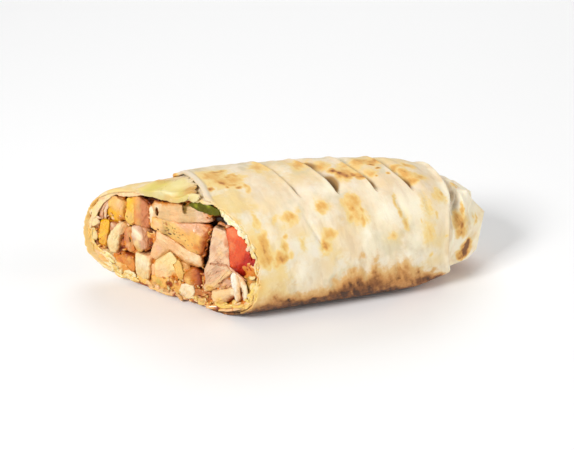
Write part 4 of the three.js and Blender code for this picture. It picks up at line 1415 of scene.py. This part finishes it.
def leaf_cover():
    """Crumpled leaf between the cut and the flap's edge."""
    steps, around = 110, 60
    u = np.linspace(0, 1, steps)[:, None]
    v = np.concatenate([np.linspace(0, 1, around), np.linspace(1, 0, around)])[None, :]
    over = np.repeat([1.0, 0.0], around)[None, :]
    cluster = Cluster()
    for k, (rows, lift, color) in enumerate(LEAVES):
        rows = np.array(rows, float)
        knots = np.linspace(0, 1, len(rows))
        degrees, reach, hang = (np.interp(u, knots, rows[:, i]) for i in range(3))
        phi = np.radians(degrees)
        arc = arc_of(phi)
        edge = np.concatenate([arc, 0 * arc, 0 * arc + 5 * k], -1)
        reach = reach * (1 + 0.16 * fractal(edge, 5, 4, seed=73, gain=0.6)[:, None])
        hang = hang * (1 + 0.16 * fractal(edge, 4, 4, seed=74, gain=0.6)[:, None])
        step = v * (reach + hang) - hang
        bend = np.sqrt(step ** 2 + 0.6)
        behind, drop = (step + bend) / 2 - 0.62, (bend - step) / 2 - 0.2
        flat = np.stack([arc + 0 * v, step, 0 * step + 9 * k], -1)
        crumple = fractal(flat, 4.2, 3, seed=71, gain=0.5)
        skewed = flat * np.array([0.7, 1.1, 1]) + flat[..., [1, 0, 2]] * 0.3
        fold = 1 - 2 * np.abs(noise(skewed, 4.4, seed=75))
        rim = smoothstep(np.minimum(u, 1 - u), 0, 0.16)
        rim = rim * smoothstep(1 - v, 0, 0.2) * smoothstep(v, -0.1, 0.25)
        height = lift + 0.12 + rim * (0.5 + 0.4 * crumple + 0.75 * fold) - 0.28 * (1 - over)
        x = rim_x(phi) + behind / math.sin(CUT_ANGLE)
        both = phi + 0 * x
        place = section(x, both, rim_sag(x, both) - shoulder(x, both) - height)
        place[..., 2] -= drop
        leaf = np.concatenate([place.reshape(-1, 3), [place[0].mean(0), place[-1].mean(0)]])
        patch = fractal(flat, 6, 3, seed=77)
        tint = mix(paint(color), paint("leaf_green"), 0.65 * smoothstep(patch, -0.1, 0.6)[..., None])
        # Painted highlight, pale, on the ridges of the folds, and painted shade, gold, in their hollows.
        tint = mix(tint, paint("leaf_pale"), 0.8 * smoothstep(fold - patch, 0.5, 1.6)[..., None])
        tint = mix(tint, paint("gold"), 0.5 * smoothstep(-fold - 0.5 * patch, 0.0, 0.7)[..., None])
        ends = np.maximum(1 - smoothstep(u, 0.02, 0.2), smoothstep(u, 0.6, 0.95) * smoothstep(v, 0.3, 0.7))
        back = np.maximum(smoothstep(v + 0.15 * patch, 0.45, 0.85), ends)
        dry = mix(paint("cream"), paint("tan"), smoothstep(patch + u, 0.4, 1.3)[..., None])
        tint = mix(tint, dry, 0.85 * back[..., None]).reshape(-1, 3)
        tint = np.concatenate([tint, tint[:1], tint[-1:]])
        cluster.add(leaf, loft_faces(steps, 2 * around), tint)
    cluster.to_object("lettuce_leaf", "lettuce", "lettuce_02")


# Ribbons on the cut face, as strands() takes them.
STRANDS = {
    ("bread_lip", "filling", "filling"): [
        (2.0, 0.9, 8, "peach", "cream", [(-29.8, 1.2, 41.2), (-27.6, 0.7, 42.3), (-24, 0.5, 43.1),
          (-20, 0.5, 44.1), (-16.5, 0.7, 45), (-13, 0.9, 45.9)]),
        (3.0, 1.1, 10, "cream", "lemon", [(-44.2, 0.9, 20), (-42.8, 0.5, 25), (-40.4, 0.4, 30),
          (-37.4, 0.4, 34.8), (-34.2, 0.5, 38.6), (-30.2, 0.6, 42), (-25.6, 0.8, 44.3)]),
        # This ply is bread, painted pink and mauve as painted shade deep in the fold.
        (2.4, 1.2, 20, "pink", "mauve", [(-38.2, 2.2, 25.6), (-37.4, 1.6, 30), (-36, 1.4, 33.6),
          (-33.8, 1.4, 36.8), (-31.4, 1.8, 38.8)]),
        (1.7, 1.0, 0, "pale", "peach", [(-35.4, 1.8, 27.6), (-35, 1.2, 31.4), (-33.9, 1.2, 34.2),
          (-32, 1.6, 37)]),
        (3.2, 1.2, 12, "cream", "lemon", [(-42.6, 0.5, 23.8), (-40.4, 0.2, 25.8), (-37.8, 0.5, 26.6)]),
        (1.6, 0.9, 0, "peach", "pale", [(-41.8, 0.9, 27.2), (-39.6, 0.5, 27.8), (-37.2, 0.8, 28)]),
    ],
    ("onion_shreds", "onion", "onion_01"): [
        (2.1, 1.3, 15, "peach", "white", [(32.8, 0.6, 23), (35.6, 0.4, 20.6), (37, 0.5, 17.4),
          (37.4, 0.8, 14), (37, 1.2, 10.2)]),
        (1.4, 1.1, 0, "pale", "white", [(38.2, 0.2, 34.6), (39.4, 0.0, 36), (40.6, 0.1, 37.3)]),
        (0.9, 0.7, 0, "salmon", "pink", [(28.6, 0.4, 25.4), (32.2, 0.2, 23.3), (35.8, 0.2, 21.8),
          (38, 0.5, 20.4)]),
        (1.3, 0.8, 0, "salmon", "rust", [(23, 2.4, 41.4), (25, 1.8, 42.6), (27.2, 1.7, 42.2),
          (28.8, 2.2, 41)]),
        (1.1, 0.9, 0, "peach", "salmon", [(28.4, 0.6, 42.2), (29.4, 0.3, 43.4), (30.6, 0.6, 43.4)]),
    ],
    ("cabbage_shreds", "lettuce", "lettuce_02"): [
        (1.9, 0.8, 20, "olive_pale", "lemon", [(38.9, 0.8, 22.2), (40.6, 0.4, 22.6),
          (42.3, 0.6, 23.6)]),
        (2.0, 0.8, 30, "corn", "lemon", [(42.2, 0.4, 20.6), (41.4, 0.2, 17.6), (40.4, 0.4, 14.6),
          (39.3, 0.8, 11.4)]),
        (1.5, 0.8, -20, "straw", "corn", [(44.0, 0.4, 18), (43.2, 0.2, 14.8), (41.6, 0.3, 11.8)]),
        (1.4, 0.9, 0, "corn", "gold", [(36.4, 0.6, 8.6), (33.4, 0.4, 7.0), (29.6, 0.5, 6.0)]),
        (1.1, 0.8, 0, "straw", "pear", [(42.8, 0.5, 30.8), (42.4, 0.3, 28), (43.2, 0.5, 24.8)]),
        (1.7, 0.9, 20, "lemon", "straw", [(-43.6, 0.6, 19), (-42.2, 0.4, 15.6), (-39.6, 0.4, 12.8),
          (-36, 0.5, 11.6)]),
        (1.5, 0.8, 0, "pear", "lemon", [(-40.6, 0.8, 8.8), (-37, 0.5, 7.2), (-33, 0.4, 6.4),
          (-29, 0.6, 6.6)]),
        (1.2, 0.7, 0, "leaf", "pear", [(-35.4, 0.5, 10.2), (-33, 0.2, 9.6), (-30.8, 0.4, 8.4)]),
        (1.1, 0.6, 0, "olive_pale", "leaf", [(-31.4, 0.6, 5.4), (-29.4, 0.4, 4.6), (-27.6, 0.6, 3.8)]),
        (1.8, 1.1, 0, "straw", "lemon", [(-26, 0.6, 4.8), (-21.6, 0.4, 3.6), (-17.6, 0.5, 3.4)]),
        (1.8, 1.1, 0, "straw", "corn", [(22, 0.4, 4.6), (27, 0.4, 5.2), (31, 0.5, 6.8)]),
    ],
}

# Torn bits of bread and vegetables along the rim and in the crevices, as crumbs() takes them.
RIM_FRINGE = [
    ((26.6, 48.4), (33.4, 45), 20, 4.2, 2.0, 0.7, 0.4, ("leaf_light", "white", "pear", "leaf_pale")),
    ((33.4, 45), (38.8, 39.6), 20, 4.2, 2.0, 0.7, 0.4, ("pear", "leaf_light", "lemon")),
    ((38.8, 39.6), (42.8, 33), 16, 4.0, 1.8, 0.7, 0.4, ("pear", "straw", "lemon")),
    ((43.2, 33), (43.7, 22), 8, 4.6, 1.2, 0.7, 0.2, ("straw", "gold", "lemon")),
    ((43.4, 20), (38.6, 9), 16, 4.4, 2.0, 0.5, 0.7, ("corn", "straw", "lemon")),
    ((-20, 3.2), (-40, 5.4), 12, 6, 2.6, 0.7, 0.6, ("lemon", "pear", "straw")),
    ((-45.4, 9), (-45.2, 22), 16, 5, 2.2, 0.3, 0.5, ("straw", "lemon", "gold", "corn")),
    ((-43, 10), (-42.6, 20), 8, 5, 1.8, 0.7, 0.4, ("straw", "lemon", "gold")),
    ((-42, 30), (-34, 39.4), 6, 5, 1.4, 0.2, 0.4, ("peach", "lemon", "cream")),
    ((36, 7.6), (14, 3.6), 10, 5, 2.0, 0.8, 0.5, ("straw", "corn", "peach")),
]
RIM_BITS = [
    ((34, 6.6), (14, 3.8), 10, 2.6, 1.2, 0.5, ("straw", "gold", "peach", "amber")),
    ((12, 3.8), (-16, 3.4), 18, 2.6, 1.2, 0.5, ("straw", "peach", "tan", "lemon")),
    ((-18, 4), (-36, 5.4), 6, 2.6, 1.2, 0.5, ("straw", "lemon", "pear")),
]
CREVICE_BITS = [
    ((-38, 30), (-20, 30), 22, 1.4, 2.0, 1.4, ("amber", "gold", "peach", "tan")),
    ((-30, 12), (-20, 15), 18, 1.3, 1.8, 1.2, ("amber", "orange", "gold")),
    ((-11, 41), (-9.4, 20), 18, 1.1, 2.0, 0.7, ("tan", "peach", "amber")),
    ((-8, 9), (6, 10), 26, 1.4, 1.3, 1.0, ("straw", "gold", "amber", "peach")),
    ((6, 12), (16, 9), 20, 1.3, 1.4, 1.0, ("gold", "amber", "peach")),
    ((17, 6), (24, 5), 18, 1.3, 1.0, 0.9, ("amber", "straw", "tan")),
    ((-13, 21), (-9, 18), 8, 1.1, 2.4, 0.8, ("sienna", "tan")),
    ((-9, 45), (20, 44), 20, 1.2, 2.2, 0.9, ("orange", "tan", "amber")),
    ((-40, 24), (-38, 14), 16, 1.2, 1.6, 0.8, ("amber", "orange", "gold")),
    ((24, 12), (33, 17), 10, 1.0, 2.2, 0.7, ("tan", "peach")),
]

# Herb specks on the browned side of one piece, as holes.
speck_draw = np.random.default_rng(20)
SPECKS = [(w, 36.0 - 0.36 * w - drop, 0.34, 0.32, 0.1, color) for w, drop, color in zip(
    speck_draw.uniform(-3, 15, 34), speck_draw.uniform(0.2, 4.6, 34), ["olive", "rust"] * 17)]

# For each slot, every piece as (name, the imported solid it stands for, color, corners on the cut
# face, and the rest of what cut_piece() takes).
FILLING = {
    "chicken": [
        ("chicken_a", "chicken_01", "gold",
         [(-30.6, 41), (-32.6, 36.5), (-33.2, 31.9), (-31.4, 29.4), (-28.6, 28.8), (-26.2, 30),
          (-24.5, 32.2), (-23.2, 37.8), (-22, 40.4), (-24.9, 40.2), (-27.9, 41.4)],
         dict(back=0.8, seed=1,
              facets=[(-110, -28, 34.5, 0.35, "yellow"), (10, -25, 37, 0.6, None)],
              stains=[(-25.6, 31.8, 1.6, "orange"), (-26.5, 38, 3, "peach"), (-30.4, 32, 1.6, "yellow")])),
        ("chicken_b", "chicken_02", "tan",
         [(-20.8, 43), (-18, 43.9), (-14.8, 44.4), (-10.5, 41.6), (-10.6, 36), (-10.8, 31.4),
          (-15.5, 30.6), (-20.3, 30.6), (-20.6, 36)],
         dict(back=0.5, seed=2,
              facets=[(180, -16.8, 37, 0.4, "honey"), (0, -15.2, 37, 0.5, "salmon")],
              stains=[(-13, 33.6, 2.4, "salmon"), (-18.6, 41.5, 2.2, "yellow"),
                      (-16, 35.6, 2, "salmon")],
              holes=[(-20, 39.5, 0.5, 1.0, 1.2, "brown")])),
        ("chicken_c", "chicken_03", "sand",
         [(-8.8, 42.5), (-7, 44.2), (-2, 45.2), (4, 47), (8.5, 48.6), (11.5, 48.2), (15.5, 47.2),
          (20, 46.8), (22.6, 44.8), (20.4, 43), (15, 41.2), (10, 39.8), (4.5, 38.3), (-1, 37.2),
          (-7.2, 37)],
         dict(length=22, center=(4, 42), back=0.5, seed=3, fibre=12,
              facets=[(108, 1, 44.8, 0.8, "honey"), (8, 13, 44, 0.3, "pale"), (20, 18, 44, 0.7, "pink")],
              stains=[(3, 40, 4, "peach"), (-6, 42.5, 2, "white")],
              # Its dark hole is painted shade in a gap.
              holes=[(-6.2, 40.1, 0.75, 2.1, 3.5, "dark"), (7.6, 47.6, 3.8, 1.1, 1.6, "olive"),
                     (8.4, 45.4, 1.3, 2.6, 1.2, "olive")])),
        ("chicken_c_end", "filling", "white",
         [(-10.1, 41), (-8, 42), (-6.9, 40), (-6.9, 35), (-7.2, 31.6), (-9.9, 31.4)],
         dict(back=0.9, seed=4,
              facets=[(0, -7.8, 37, 0.5, "peach")],
              stains=[(-9, 33.4, 1.6, "straw")])),
        ("chicken_d", "chicken_04", "gold",
         [(-9, 36.4), (-5, 37), (3, 37.6), (10, 39.2), (16, 40.9), (21.8, 41), (19.8, 36.5), (17.6, 30),
          (16, 26.6), (10.8, 26.3), (5, 28.8), (0, 30.3), (-5, 31.2), (-9.4, 31.6)],
         dict(length=24, back=0.2, seed=5, fibre=-15, lean=(-0.9, -0.5),
              facets=[(84, 5, 36.2, 0.45, "pink"), (-12, 15.8, 32, 0.9, "orange")],
              stains=[(-1, 33, 3, "olive"), (1.5, 33.6, 3.4, "straw"), (14, 29, 2, "amber"),
                      (-6.5, 34, 2.6, "peach"), (8, 37.4, 4, "pink"), (18, 39.2, 1.6, "peach"),
                      (8, 31, 2.5, "straw")],
              holes=[(0, 31.4, 0.8, 0.3, 0.3, "brown"), (-6, 31.8, 0.6, 0.4, 0.4, "brown")] + SPECKS)),
        ("chicken_e", "chicken_05", "peach",
         [(-6.6, 30.6), (0, 29.4), (5, 27.8), (10, 25.8), (15.8, 25.4), (16.4, 21), (14, 20.2),
          (9, 20.2), (5, 21), (0.5, 24), (-3, 24), (-7.6, 25)],
         dict(length=20, center=(3, 25.6), back=0.4, seed=6, fibre=-22,
              facets=[(-98, 9, 21.8, 0.7, "tan")],
              stains=[(12.6, 23.4, 3.4, "white"), (6, 25, 2.4, "cream"), (-4, 27.6, 2.4, "cream")])),
        ("chicken_e_leg", "filling", "peach",
         [(-7.8, 25.6), (-3, 25), (0.8, 24.4), (-3.5, 20.6), (-8.4, 16.6), (-10, 19), (-9.6, 21.5)],
         dict(back=0.7, length=12, seed=38, fibre=42,
              facets=[(-46, -4.6, 21.4, 0.8, "tan")],
              stains=[(-6.5, 23, 1.8, "pink")])),
        ("chicken_f", "chicken_06", "rose",
         [(-19.6, 29.4), (-17, 30.2), (-12, 30.2), (-7.6, 29.9), (-7.2, 27.5), (-6.6, 25.6),
          (-10, 23.6), (-13.6, 20.8), (-16.6, 18.2), (-18.8, 19.2), (-19.9, 24)],
         dict(back=0.3, edge=0.6, seed=7, fibre=90,
              facets=[(8, -14.4, 25, 0.9, "pink"), (-100, -17, 20.6, 0.5, "straw")],
              stains=[(-17.6, 26.4, 2.6, "white"), (-18, 21.6, 1.8, "lemon"), (-10, 26, 3.0, "mauve")])),
        ("chicken_g", "chicken_07", "pear",
         [(-25.5, 30), (-22.2, 29.8), (-23.2, 27.5), (-26.5, 23.5), (-27.2, 20), (-28.2, 15),
          (-30, 13.3), (-33.6, 13.6), (-34.6, 16), (-34, 20), (-31, 24), (-28.2, 27.6)],
         dict(back=0.7, seed=8, fibre=62,
              facets=[(-15, -28.8, 18, 0.7, "tan"), (190, -33, 18, 0.5, None)],
              stains=[(-27, 25.5, 2.5, "cream"), (-25, 28, 1.2, "peach")])),
        ("chicken_g_top", "filling", "corn",
         [(-21.4, 42), (-18.4, 42.9), (-17.6, 40.6), (-18.3, 36.5), (-18.9, 31.6), (-20.4, 29.8),
          (-22.2, 30.6), (-23.6, 32.4), (-22.5, 36.3), (-22.4, 38.6)],
         dict(back=1.3, seed=9,
              stains=[(-20, 41, 2.4, "yellow"), (-21.2, 34, 2.4, "straw"), (-21, 38, 2, "yellow")],
              holes=[(-23, 37.4, 0.35, 0.9, 0.8, "brown"), (-22.2, 33.2, 0.6, 0.5, 0.5, "olive")])),
        ("chicken_small_a", "filling", "mauve",
         [(-32.2, 24), (-31.7, 27.6), (-29.5, 28.2), (-27.5, 27.8), (-28, 26.4), (-30.6, 23.4)],
         dict(back=1.1, length=8, seed=10,
              stains=[(-30.6, 27.4, 1.2, "pale")])),
        ("chicken_h", "chicken_08", "tan",
         [(-24, 27), (-22, 28.9), (-20.4, 29), (-20, 24), (-19.4, 17.5), (-22, 16.6), (-24.6, 17.8),
          (-25, 21), (-24.8, 24)],
         dict(back=1.7, seed=11, fibre=80,
              facets=[(180, -22.4, 24, 0.4, "salmon")],
              stains=[(-20.4, 18.6, 2, "amber"), (-23, 19, 1.6, "peach"), (-21.3, 26.5, 1, "orange")],
              holes=[(-21.6, 22.6, 0.4, 1.4, 1, "brown")])),
        ("chicken_i", "chicken_09", "pear",
         [(-18.6, 17), (-15, 17.8), (-12, 17.6), (-9.6, 19.4), (-9, 16.5), (-10.6, 14.6), (-10.8, 9),
          (-12.6, 5.8), (-15.5, 5.4), (-18.6, 6.2), (-19.3, 11)],
         dict(back=0.7, seed=12, fibre=85,
              facets=[(-6, -11.8, 12, 1.0, "honey"), (74, -12.6, 16, 0.6, "peach")],
              stains=[(-15, 12, 3, "white")])),
        ("chicken_small_b", "filling", "peach",
         [(-10.4, 13.6), (-9.2, 14.2), (-8.9, 9), (-9.6, 7), (-10.4, 9)],
         dict(back=2.2, length=8, edge=0.5, seed=13)),
        ("chicken_j", "chicken_10", "lemon",
         [(-8.8, 14.8), (-7.2, 17.6), (-3.5, 20.4), (0, 23), (2.5, 21.5), (3.4, 19.8), (1, 17.6),
          (2.4, 14.6), (4.4, 11.2), (2, 10.3), (-3, 9.8), (-8.4, 8.6)],
         dict(center=(-2, 15.2), back=0.5, length=18, seed=14, fibre=45,
              facets=[(-30, 0.4, 12.4, 0.4, "gold"), (140, -5, 17.6, 0.4, None)],
              stains=[(-4, 13, 3.4, "cream"), (-6, 10.6, 2, "peach"), (1, 11.6, 2, "honey")])),
        ("chicken_k", "chicken_11", "straw",
         [(0.6, 17.6), (3.8, 20.4), (5.2, 18.6), (6, 15), (5.6, 11.5), (4.2, 10.9), (2.4, 14.4)],
         dict(back=0.9, edge=0.6, seed=15, fibre=-70,
              facets=[(200, 2.6, 16, 0.5, "gold")])),
        ("chicken_small_c", "filling", "tan",
         [(5.4, 19.6), (9.4, 19.8), (9.6, 17.4), (7, 15), (6, 12.6), (5.8, 16)],
         dict(back=1.7, length=9, seed=16,
              facets=[(0, 7.6, 18, 0.6, "tan")])),
        ("chicken_l", "chicken_12", "toffee",
         [(5.8, 12.6), (7.5, 15), (10.2, 17.4), (13, 18.6), (16.6, 18.4), (17.4, 15.6), (18.4, 13.4),
          (16, 10.6), (12.6, 10.8), (9, 9.8), (6, 10.4)],
         dict(back=0.7, sauce=0.75, seed=17, fibre=20,
              facets=[(4, 10.6, 14, 0.4, "orange"), (8, 12.8, 15, 0.9, "sienna"),
                      (-64, 13, 12.2, 0.6, None)],
              stains=[(8.2, 11.6, 1.8, "straw"), (16, 15, 2.4, "sienna")],
              holes=[(17.6, 13.6, 0.9, 1.4, 1.5, "brown")])),
        ("chicken_m", "chicken_13", "white",
         [(5.6, 9.4), (8, 9.9), (11.8, 10), (12, 7.5), (10.4, 4.2), (8.4, 3.2), (5, 3.4), (3.8, 5)],
         dict(back=0.5, length=12, seed=18,
              stains=[(6, 4.6, 1.4, "pale")])),
        ("chicken_o", "chicken_14", "pale",
         [(22.8, 40.8), (25, 41), (28.4, 40.6), (29.4, 37), (29.8, 31), (30.2, 26.4), (31.8, 23),
          (28.5, 18.8), (24, 13.4), (20.4, 10.6), (17, 9.2), (16.8, 11), (18.2, 14), (17, 18.5),
          (19.6, 24), (20.8, 30), (22, 36)],
         dict(length=22, center=(24, 26), back=0.3, seed=19, fibre=52, grain=0.16,
              facets=[(-42, 25.5, 20.2, 0.5, "cream")],
              marks=[((20.6, 23.4), (28.8, 25.2), 0.5, 0.5, "mauve"), ((28.8, 25.2), (31.6, 23), 0.5,
                     0.3, "salmon"), ((24.6, 15.4), (31.2, 21.4), 0.6, 0.8, "mauve"), ((18.6, 8.9),
                     (26, 13.4), 0.5, 0.5, "tan"), ((20.8, 18), (27.4, 22.6), 0.4, 0.4, "pink"),
                     ((19.4, 14.6), (24.6, 18.4), 0.4, 0.4, "pink")],
              stains=[(25.4, 38.6, 2.6, "peach"), (18.6, 17, 2.2, "rose"), (19.6, 11.6, 2, "straw"),
                      (28.8, 36, 1.8, "salmon"), (29.2, 30, 1.6, "salmon"), (22.4, 31, 2.2, "rose"),
                      (25.4, 30, 2, "cream"), (25, 25.6, 1.8, "rose"), (23, 21, 2.4, "rose")],
              holes=[(25.6, 27.2, 0.9, 0.4, 0.2, "mauve"), (24.2, 25.4, 1.0, 0.3, 0.2, "mauve")])),
        ("chicken_o_shred", "filling", "rose",
         [(24, 13.4), (28.5, 18.6), (30.2, 18.4), (30.4, 15.6), (27, 14.2), (25, 12.8)],
         dict(back=2.6, length=8, edge=0.5, seed=20, fibre=48,
              stains=[(27, 15.6, 1.3, "peach")])),
        ("chicken_p", "chicken_15", "cream",
         [(21, 10.2), (24, 12), (28, 13.4), (31.4, 15), (33.6, 14.6), (33.5, 12), (31.4, 10),
          (29.4, 8.4), (25, 5.4), (21.5, 5.6), (20.4, 8)],
         dict(back=0.8, seed=21, fibre=25,
              facets=[(-42, 29.6, 10.6, 0.9, "sienna")],
              stains=[(24.5, 7.4, 2.2, "straw"), (30.8, 13.4, 1.4, "white")])),
        ("chicken_q", "chicken_16", "honey",
         [(-29.8, 12), (-27.4, 13.6), (-24, 15.2), (-20.4, 14.8), (-19.7, 11), (-20, 7.2), (-23.6, 8.8),
          (-27, 9.8), (-30, 10)],
         dict(back=0.9, seed=22,
              facets=[(96, -25, 13.6, 0.8, "sienna")],
              stains=[(-28, 12.2, 1.5, "amber"), (-22.4, 12.5, 1.8, "gold"), (-27, 10.8, 1.2, "orange")])),
        ("chicken_q_low", "filling", "gold",
         [(-30, 9.8), (-25, 9.6), (-22, 7.8), (-19.6, 6.6), (-20.4, 4.6), (-24.5, 3.6), (-29.5, 4.6),
          (-31, 7)],
         dict(back=0.9, seed=23,
              stains=[(-22, 6.4, 2.2, "honey"), (-26, 7.2, 1.8, "honey"), (-29, 8, 1.4, "lemon")])),
        ("chicken_r", "filling", "gold",
         [(-10.4, 8.4), (-8, 8.8), (-3, 9.6), (0.6, 9.6), (1, 6), (-1, 3.6), (-6, 3), (-10.6, 4.4)],
         dict(back=1.0, seed=24,
              holes=[(-1, 7.2, 2.0, 1.9, 0.9, "sienna")],
              stains=[(-7, 6.6, 2, "olive_pale")])),
        ("chicken_s", "filling", "gold",
         [(1, 10), (4.6, 10.6), (5, 7), (4, 4), (1, 3.4), (0.6, 6)],
         dict(back=1.4, length=9, seed=25,
              stains=[(3, 8.6, 1.7, "orange")])),
        ("chicken_t", "filling", "straw",
         [(-19, 6.4), (-15, 5.4), (-12.6, 5.6), (-11, 3.4), (-15, 2.6), (-19.6, 3.4)],
         dict(back=1.0, length=9, seed=26,
              stains=[(-13, 4.4, 1.3, "cream")])),
        ("chicken_u", "filling", "rust",
         [(12.2, 9.4), (16, 9.6), (20.4, 10), (20.8, 4.5), (18, 3.8), (13, 4), (11.4, 5)],
         dict(back=1.2, length=10, grain=0.25, seed=27, fibre=40,
              stains=[(14, 4.8, 1.2, "cream"), (17.4, 7.6, 1.0, "tan")],
              holes=[(15.4, 6.4, 1.8, 0.45, 0.8, "sienna"), (18.4, 8.4, 1.2, 0.4, 0.8, "sienna")])),
    ],
    "tomato": [
        ("tomato_slice", "tomato", "tomato",
         [(28.6, 41.2), (29.8, 42.8), (32.6, 43.8), (36, 42.4), (37.4, 39.6), (39.6, 36), (41, 31),
          (42, 28), (41.8, 24.4), (40.2, 21.8), (36.6, 22), (33, 23), (30, 25.4), (29.9, 31),
          (29.4, 37)],
         dict(length=22, back=0.5, seed=29, fibre=70, grain=0.06, sauce=0.2,
              facets=[(-40, 36.4, 31, 0.4, "red"), (-62, 37, 25, 0.5, "deep_red")],
              stains=[(31.6, 40, 3.6, "coral"), (31, 35, 2.6, "coral")])),
        ("tomato_seeds", "filling", "red",
         [(38, 38.2), (40, 37.6), (41.6, 36.6), (42.2, 31), (41.6, 26), (40.4, 26), (39.4, 34)],
         dict(back=2.4, length=10, edge=0.5, seed=30, grain=0.2, sauce=0.2,
              stains=[(40.6, 36, 1.2, "deep_red"), (41.6, 29, 1.3, "deep_red")],
              holes=[(40.4, 34, 0.7, 1.4, 1, "deep_red")])),
    ],
    "cucumber": [
        ("cucumber_slice", "cucumber", "green",
         [(10.6, 47.6), (12.4, 49), (17, 50.2), (22, 50), (25.6, 49.2), (25.8, 47.6), (23.4, 46.6),
          (19, 46.6), (14.6, 46.7)],
         dict(edge=0.5, back=0.5, length=18, seed=31, sauce=0.0, grain=0.05,
              stains=[(14, 48.6, 1.6, "green_light"), (20, 49.8, 1.4, "green_light")])),
    ],
    "onion": [
        ("onion_strand_a", "onion_01", "onion",
         [(30.4, 20.5), (32, 23), (34, 22.4), (35, 18), (34.6, 14.4), (34.8, 11.4), (33.6, 9.6),
          (32.4, 12), (32.6, 15.4), (31, 16)],
         dict(center=(32.8, 17), back=0.5, edge=0.7, length=18, seed=32, sauce=0.5, grain=0.05,
              facets=[(0, 33, 18, 0.5, "cream")])),
        ("onion_strand_b", "onion_02", "pale",
         [(33.4, 23.2), (35.4, 21.6), (37.2, 18.6), (38.1, 15), (38.1, 11), (37, 10.8), (36.9, 14.4),
          (35.8, 18), (34.2, 20.8)],
         dict(center=(36.4, 17.6), back=0.9, edge=0.6, length=18, seed=33, sauce=0.5, grain=0.05,
              stains=[(37.4, 13, 1.4, "white")])),
    ],
    "pepper": [
        ("pepper_strip", "pepper", "yellow",
         [(-37.8, 26.6), (-34.4, 28.9), (-32.5, 28.8), (-33, 24.8), (-33.9, 20.7), (-35, 16.5),
          (-36.6, 15.4), (-38.6, 15.9), (-38.8, 19.2), (-38.4, 22.5), (-37.6, 24.5)],
         dict(back=0.8, seed=34, sauce=0.8,
              stains=[(-36.4, 21.4, 2.0, "bright"), (-34.2, 20, 1.4, "honey")])),
    ],
    "lettuce": [
        ("lettuce_shred", "lettuce_01", "pear",
         [(-43, 10), (-40.4, 13.2), (-36.5, 13), (-33, 12.4), (-30, 10.6), (-28.4, 7), (-29, 3.6),
          (-33, 3), (-38, 4), (-41.6, 6.6)],
         dict(back=0.9, seed=35, length=20, sauce=0.4,
              stains=[(-34, 10.4, 1.5, "leaf_pale"), (-36, 7.6, 2.6, "pear"),
                      (-30, 5, 1.4, "leaf_pale"), (-41, 10, 1.6, "straw")],
              marks=[((-35.6, 8.2), (-29.6, 8), 0.5, 0.6, "straw")])),
        ("lettuce_right_a", "filling", "moss",
         [(38.6, 23.6), (42.6, 23.2), (43.6, 17), (42, 12), (39, 10.6), (38.2, 13), (39.8, 16.6),
          (38.4, 19.6)],
         dict(center=(40.9, 17), back=1.6, length=10, seed=36, sauce=0.6,
              stains=[(40.4, 21.5, 1.7, "honey"), (40, 12.5, 1.6, "yellow")])),
        ("lettuce_right_b", "filling", "amber",
         [(28.2, 5.6), (31, 8), (36, 9.8), (41, 13.4), (41.6, 11), (37, 7.6), (31, 4.8)],
         dict(back=1.0, length=10, edge=0.6, seed=37, sauce=0.6,
              stains=[(34, 8.4, 1.4, "yellow"), (39, 11, 1.4, "honey")])),
    ],
}


# ---- Build ----------------------------------------------------------------------------------

inner_sheet()
outer_sheet()
filling_core()
for piece_slot, pieces in FILLING.items():
    for piece_name, piece_node, piece_color, piece_corners, rest in pieces:
        cut_piece(piece_name, piece_slot, piece_node, piece_color, piece_corners, **rest)
leaf_cover()
for (strand_name, strand_slot, strand_node), strand_rows in STRANDS.items():
    strands(strand_name, strand_slot, strand_node, strand_rows)
strands("rim_fringe", "filling", "filling", fringe(RIM_FRINGE, 4))
crumbs("rim_bits", "filling", "filling", RIM_BITS, 5)
crumbs("crevice_bits", "filling", "filling", CREVICE_BITS, 6)

# ---- Floor, light and camera ----------------------------------------------------------------

LIT_PLACE = Vector((0, 0, 0.02))


def add_floor(size):
    mesh = bpy.data.meshes.new("floor")
    h = size / 2
    mesh.from_pydata([(-h, -h, 0), (h, -h, 0), (h, h, 0), (-h, h, 0)], [], [(0, 1, 2, 3)])
    mesh.materials.append(Nodes("floor").finish(srgb(250, 250, 250), 0.6))
    floor = bpy.data.objects.new("floor", mesh)
    bpy.context.scene.collection.objects.link(floor)


def area_light(name, place, size, power):
    """A square light that shines on the wrap; its place is in metres."""
    data = bpy.data.lights.new(name, "AREA")
    data.energy = power
    data.size = size
    light = bpy.data.objects.new(name, data)
    light.location = Vector(place)
    light.rotation_euler = (LIT_PLACE - Vector(place)).to_track_quat("-Z", "Y").to_euler()
    bpy.context.scene.collection.objects.link(light)


camera_data = bpy.data.cameras.new("camera")
camera_data.sensor_fit = "HORIZONTAL"
camera_data.sensor_width = SENSOR_WIDTH
camera_data.lens = SENSOR_WIDTH * FOCAL_SHARE
camera_data.clip_start = 0.01
camera_data.clip_end = 20
camera = bpy.data.objects.new("camera", camera_data)
camera.location = Vector(to_frame(CAMERA_PLACE))
camera.rotation_euler = (math.pi / 2 - CAMERA_PITCH, 0, CAMERA_HEADING)
bpy.context.scene.collection.objects.link(camera)
bpy.context.scene.camera = camera

add_floor(12)
area_light("key", (-0.85, -0.55, 0.75), 0.36, 12.6)
area_light("back", (0.3, 0.9, 0.9), 0.9, 6)
area_light("fill", (1.2, -0.6, 0.6), 0.8, 7.5)
world = bpy.data.worlds.new("world")
world.use_nodes = True
background = world.node_tree.nodes["Background"]
background.inputs["Color"].default_value = (1, 1, 1, 1)
background.inputs["Strength"].default_value = 0.27
bpy.context.scene.world = world
bpy.context.scene.view_settings.view_transform = "Standard"
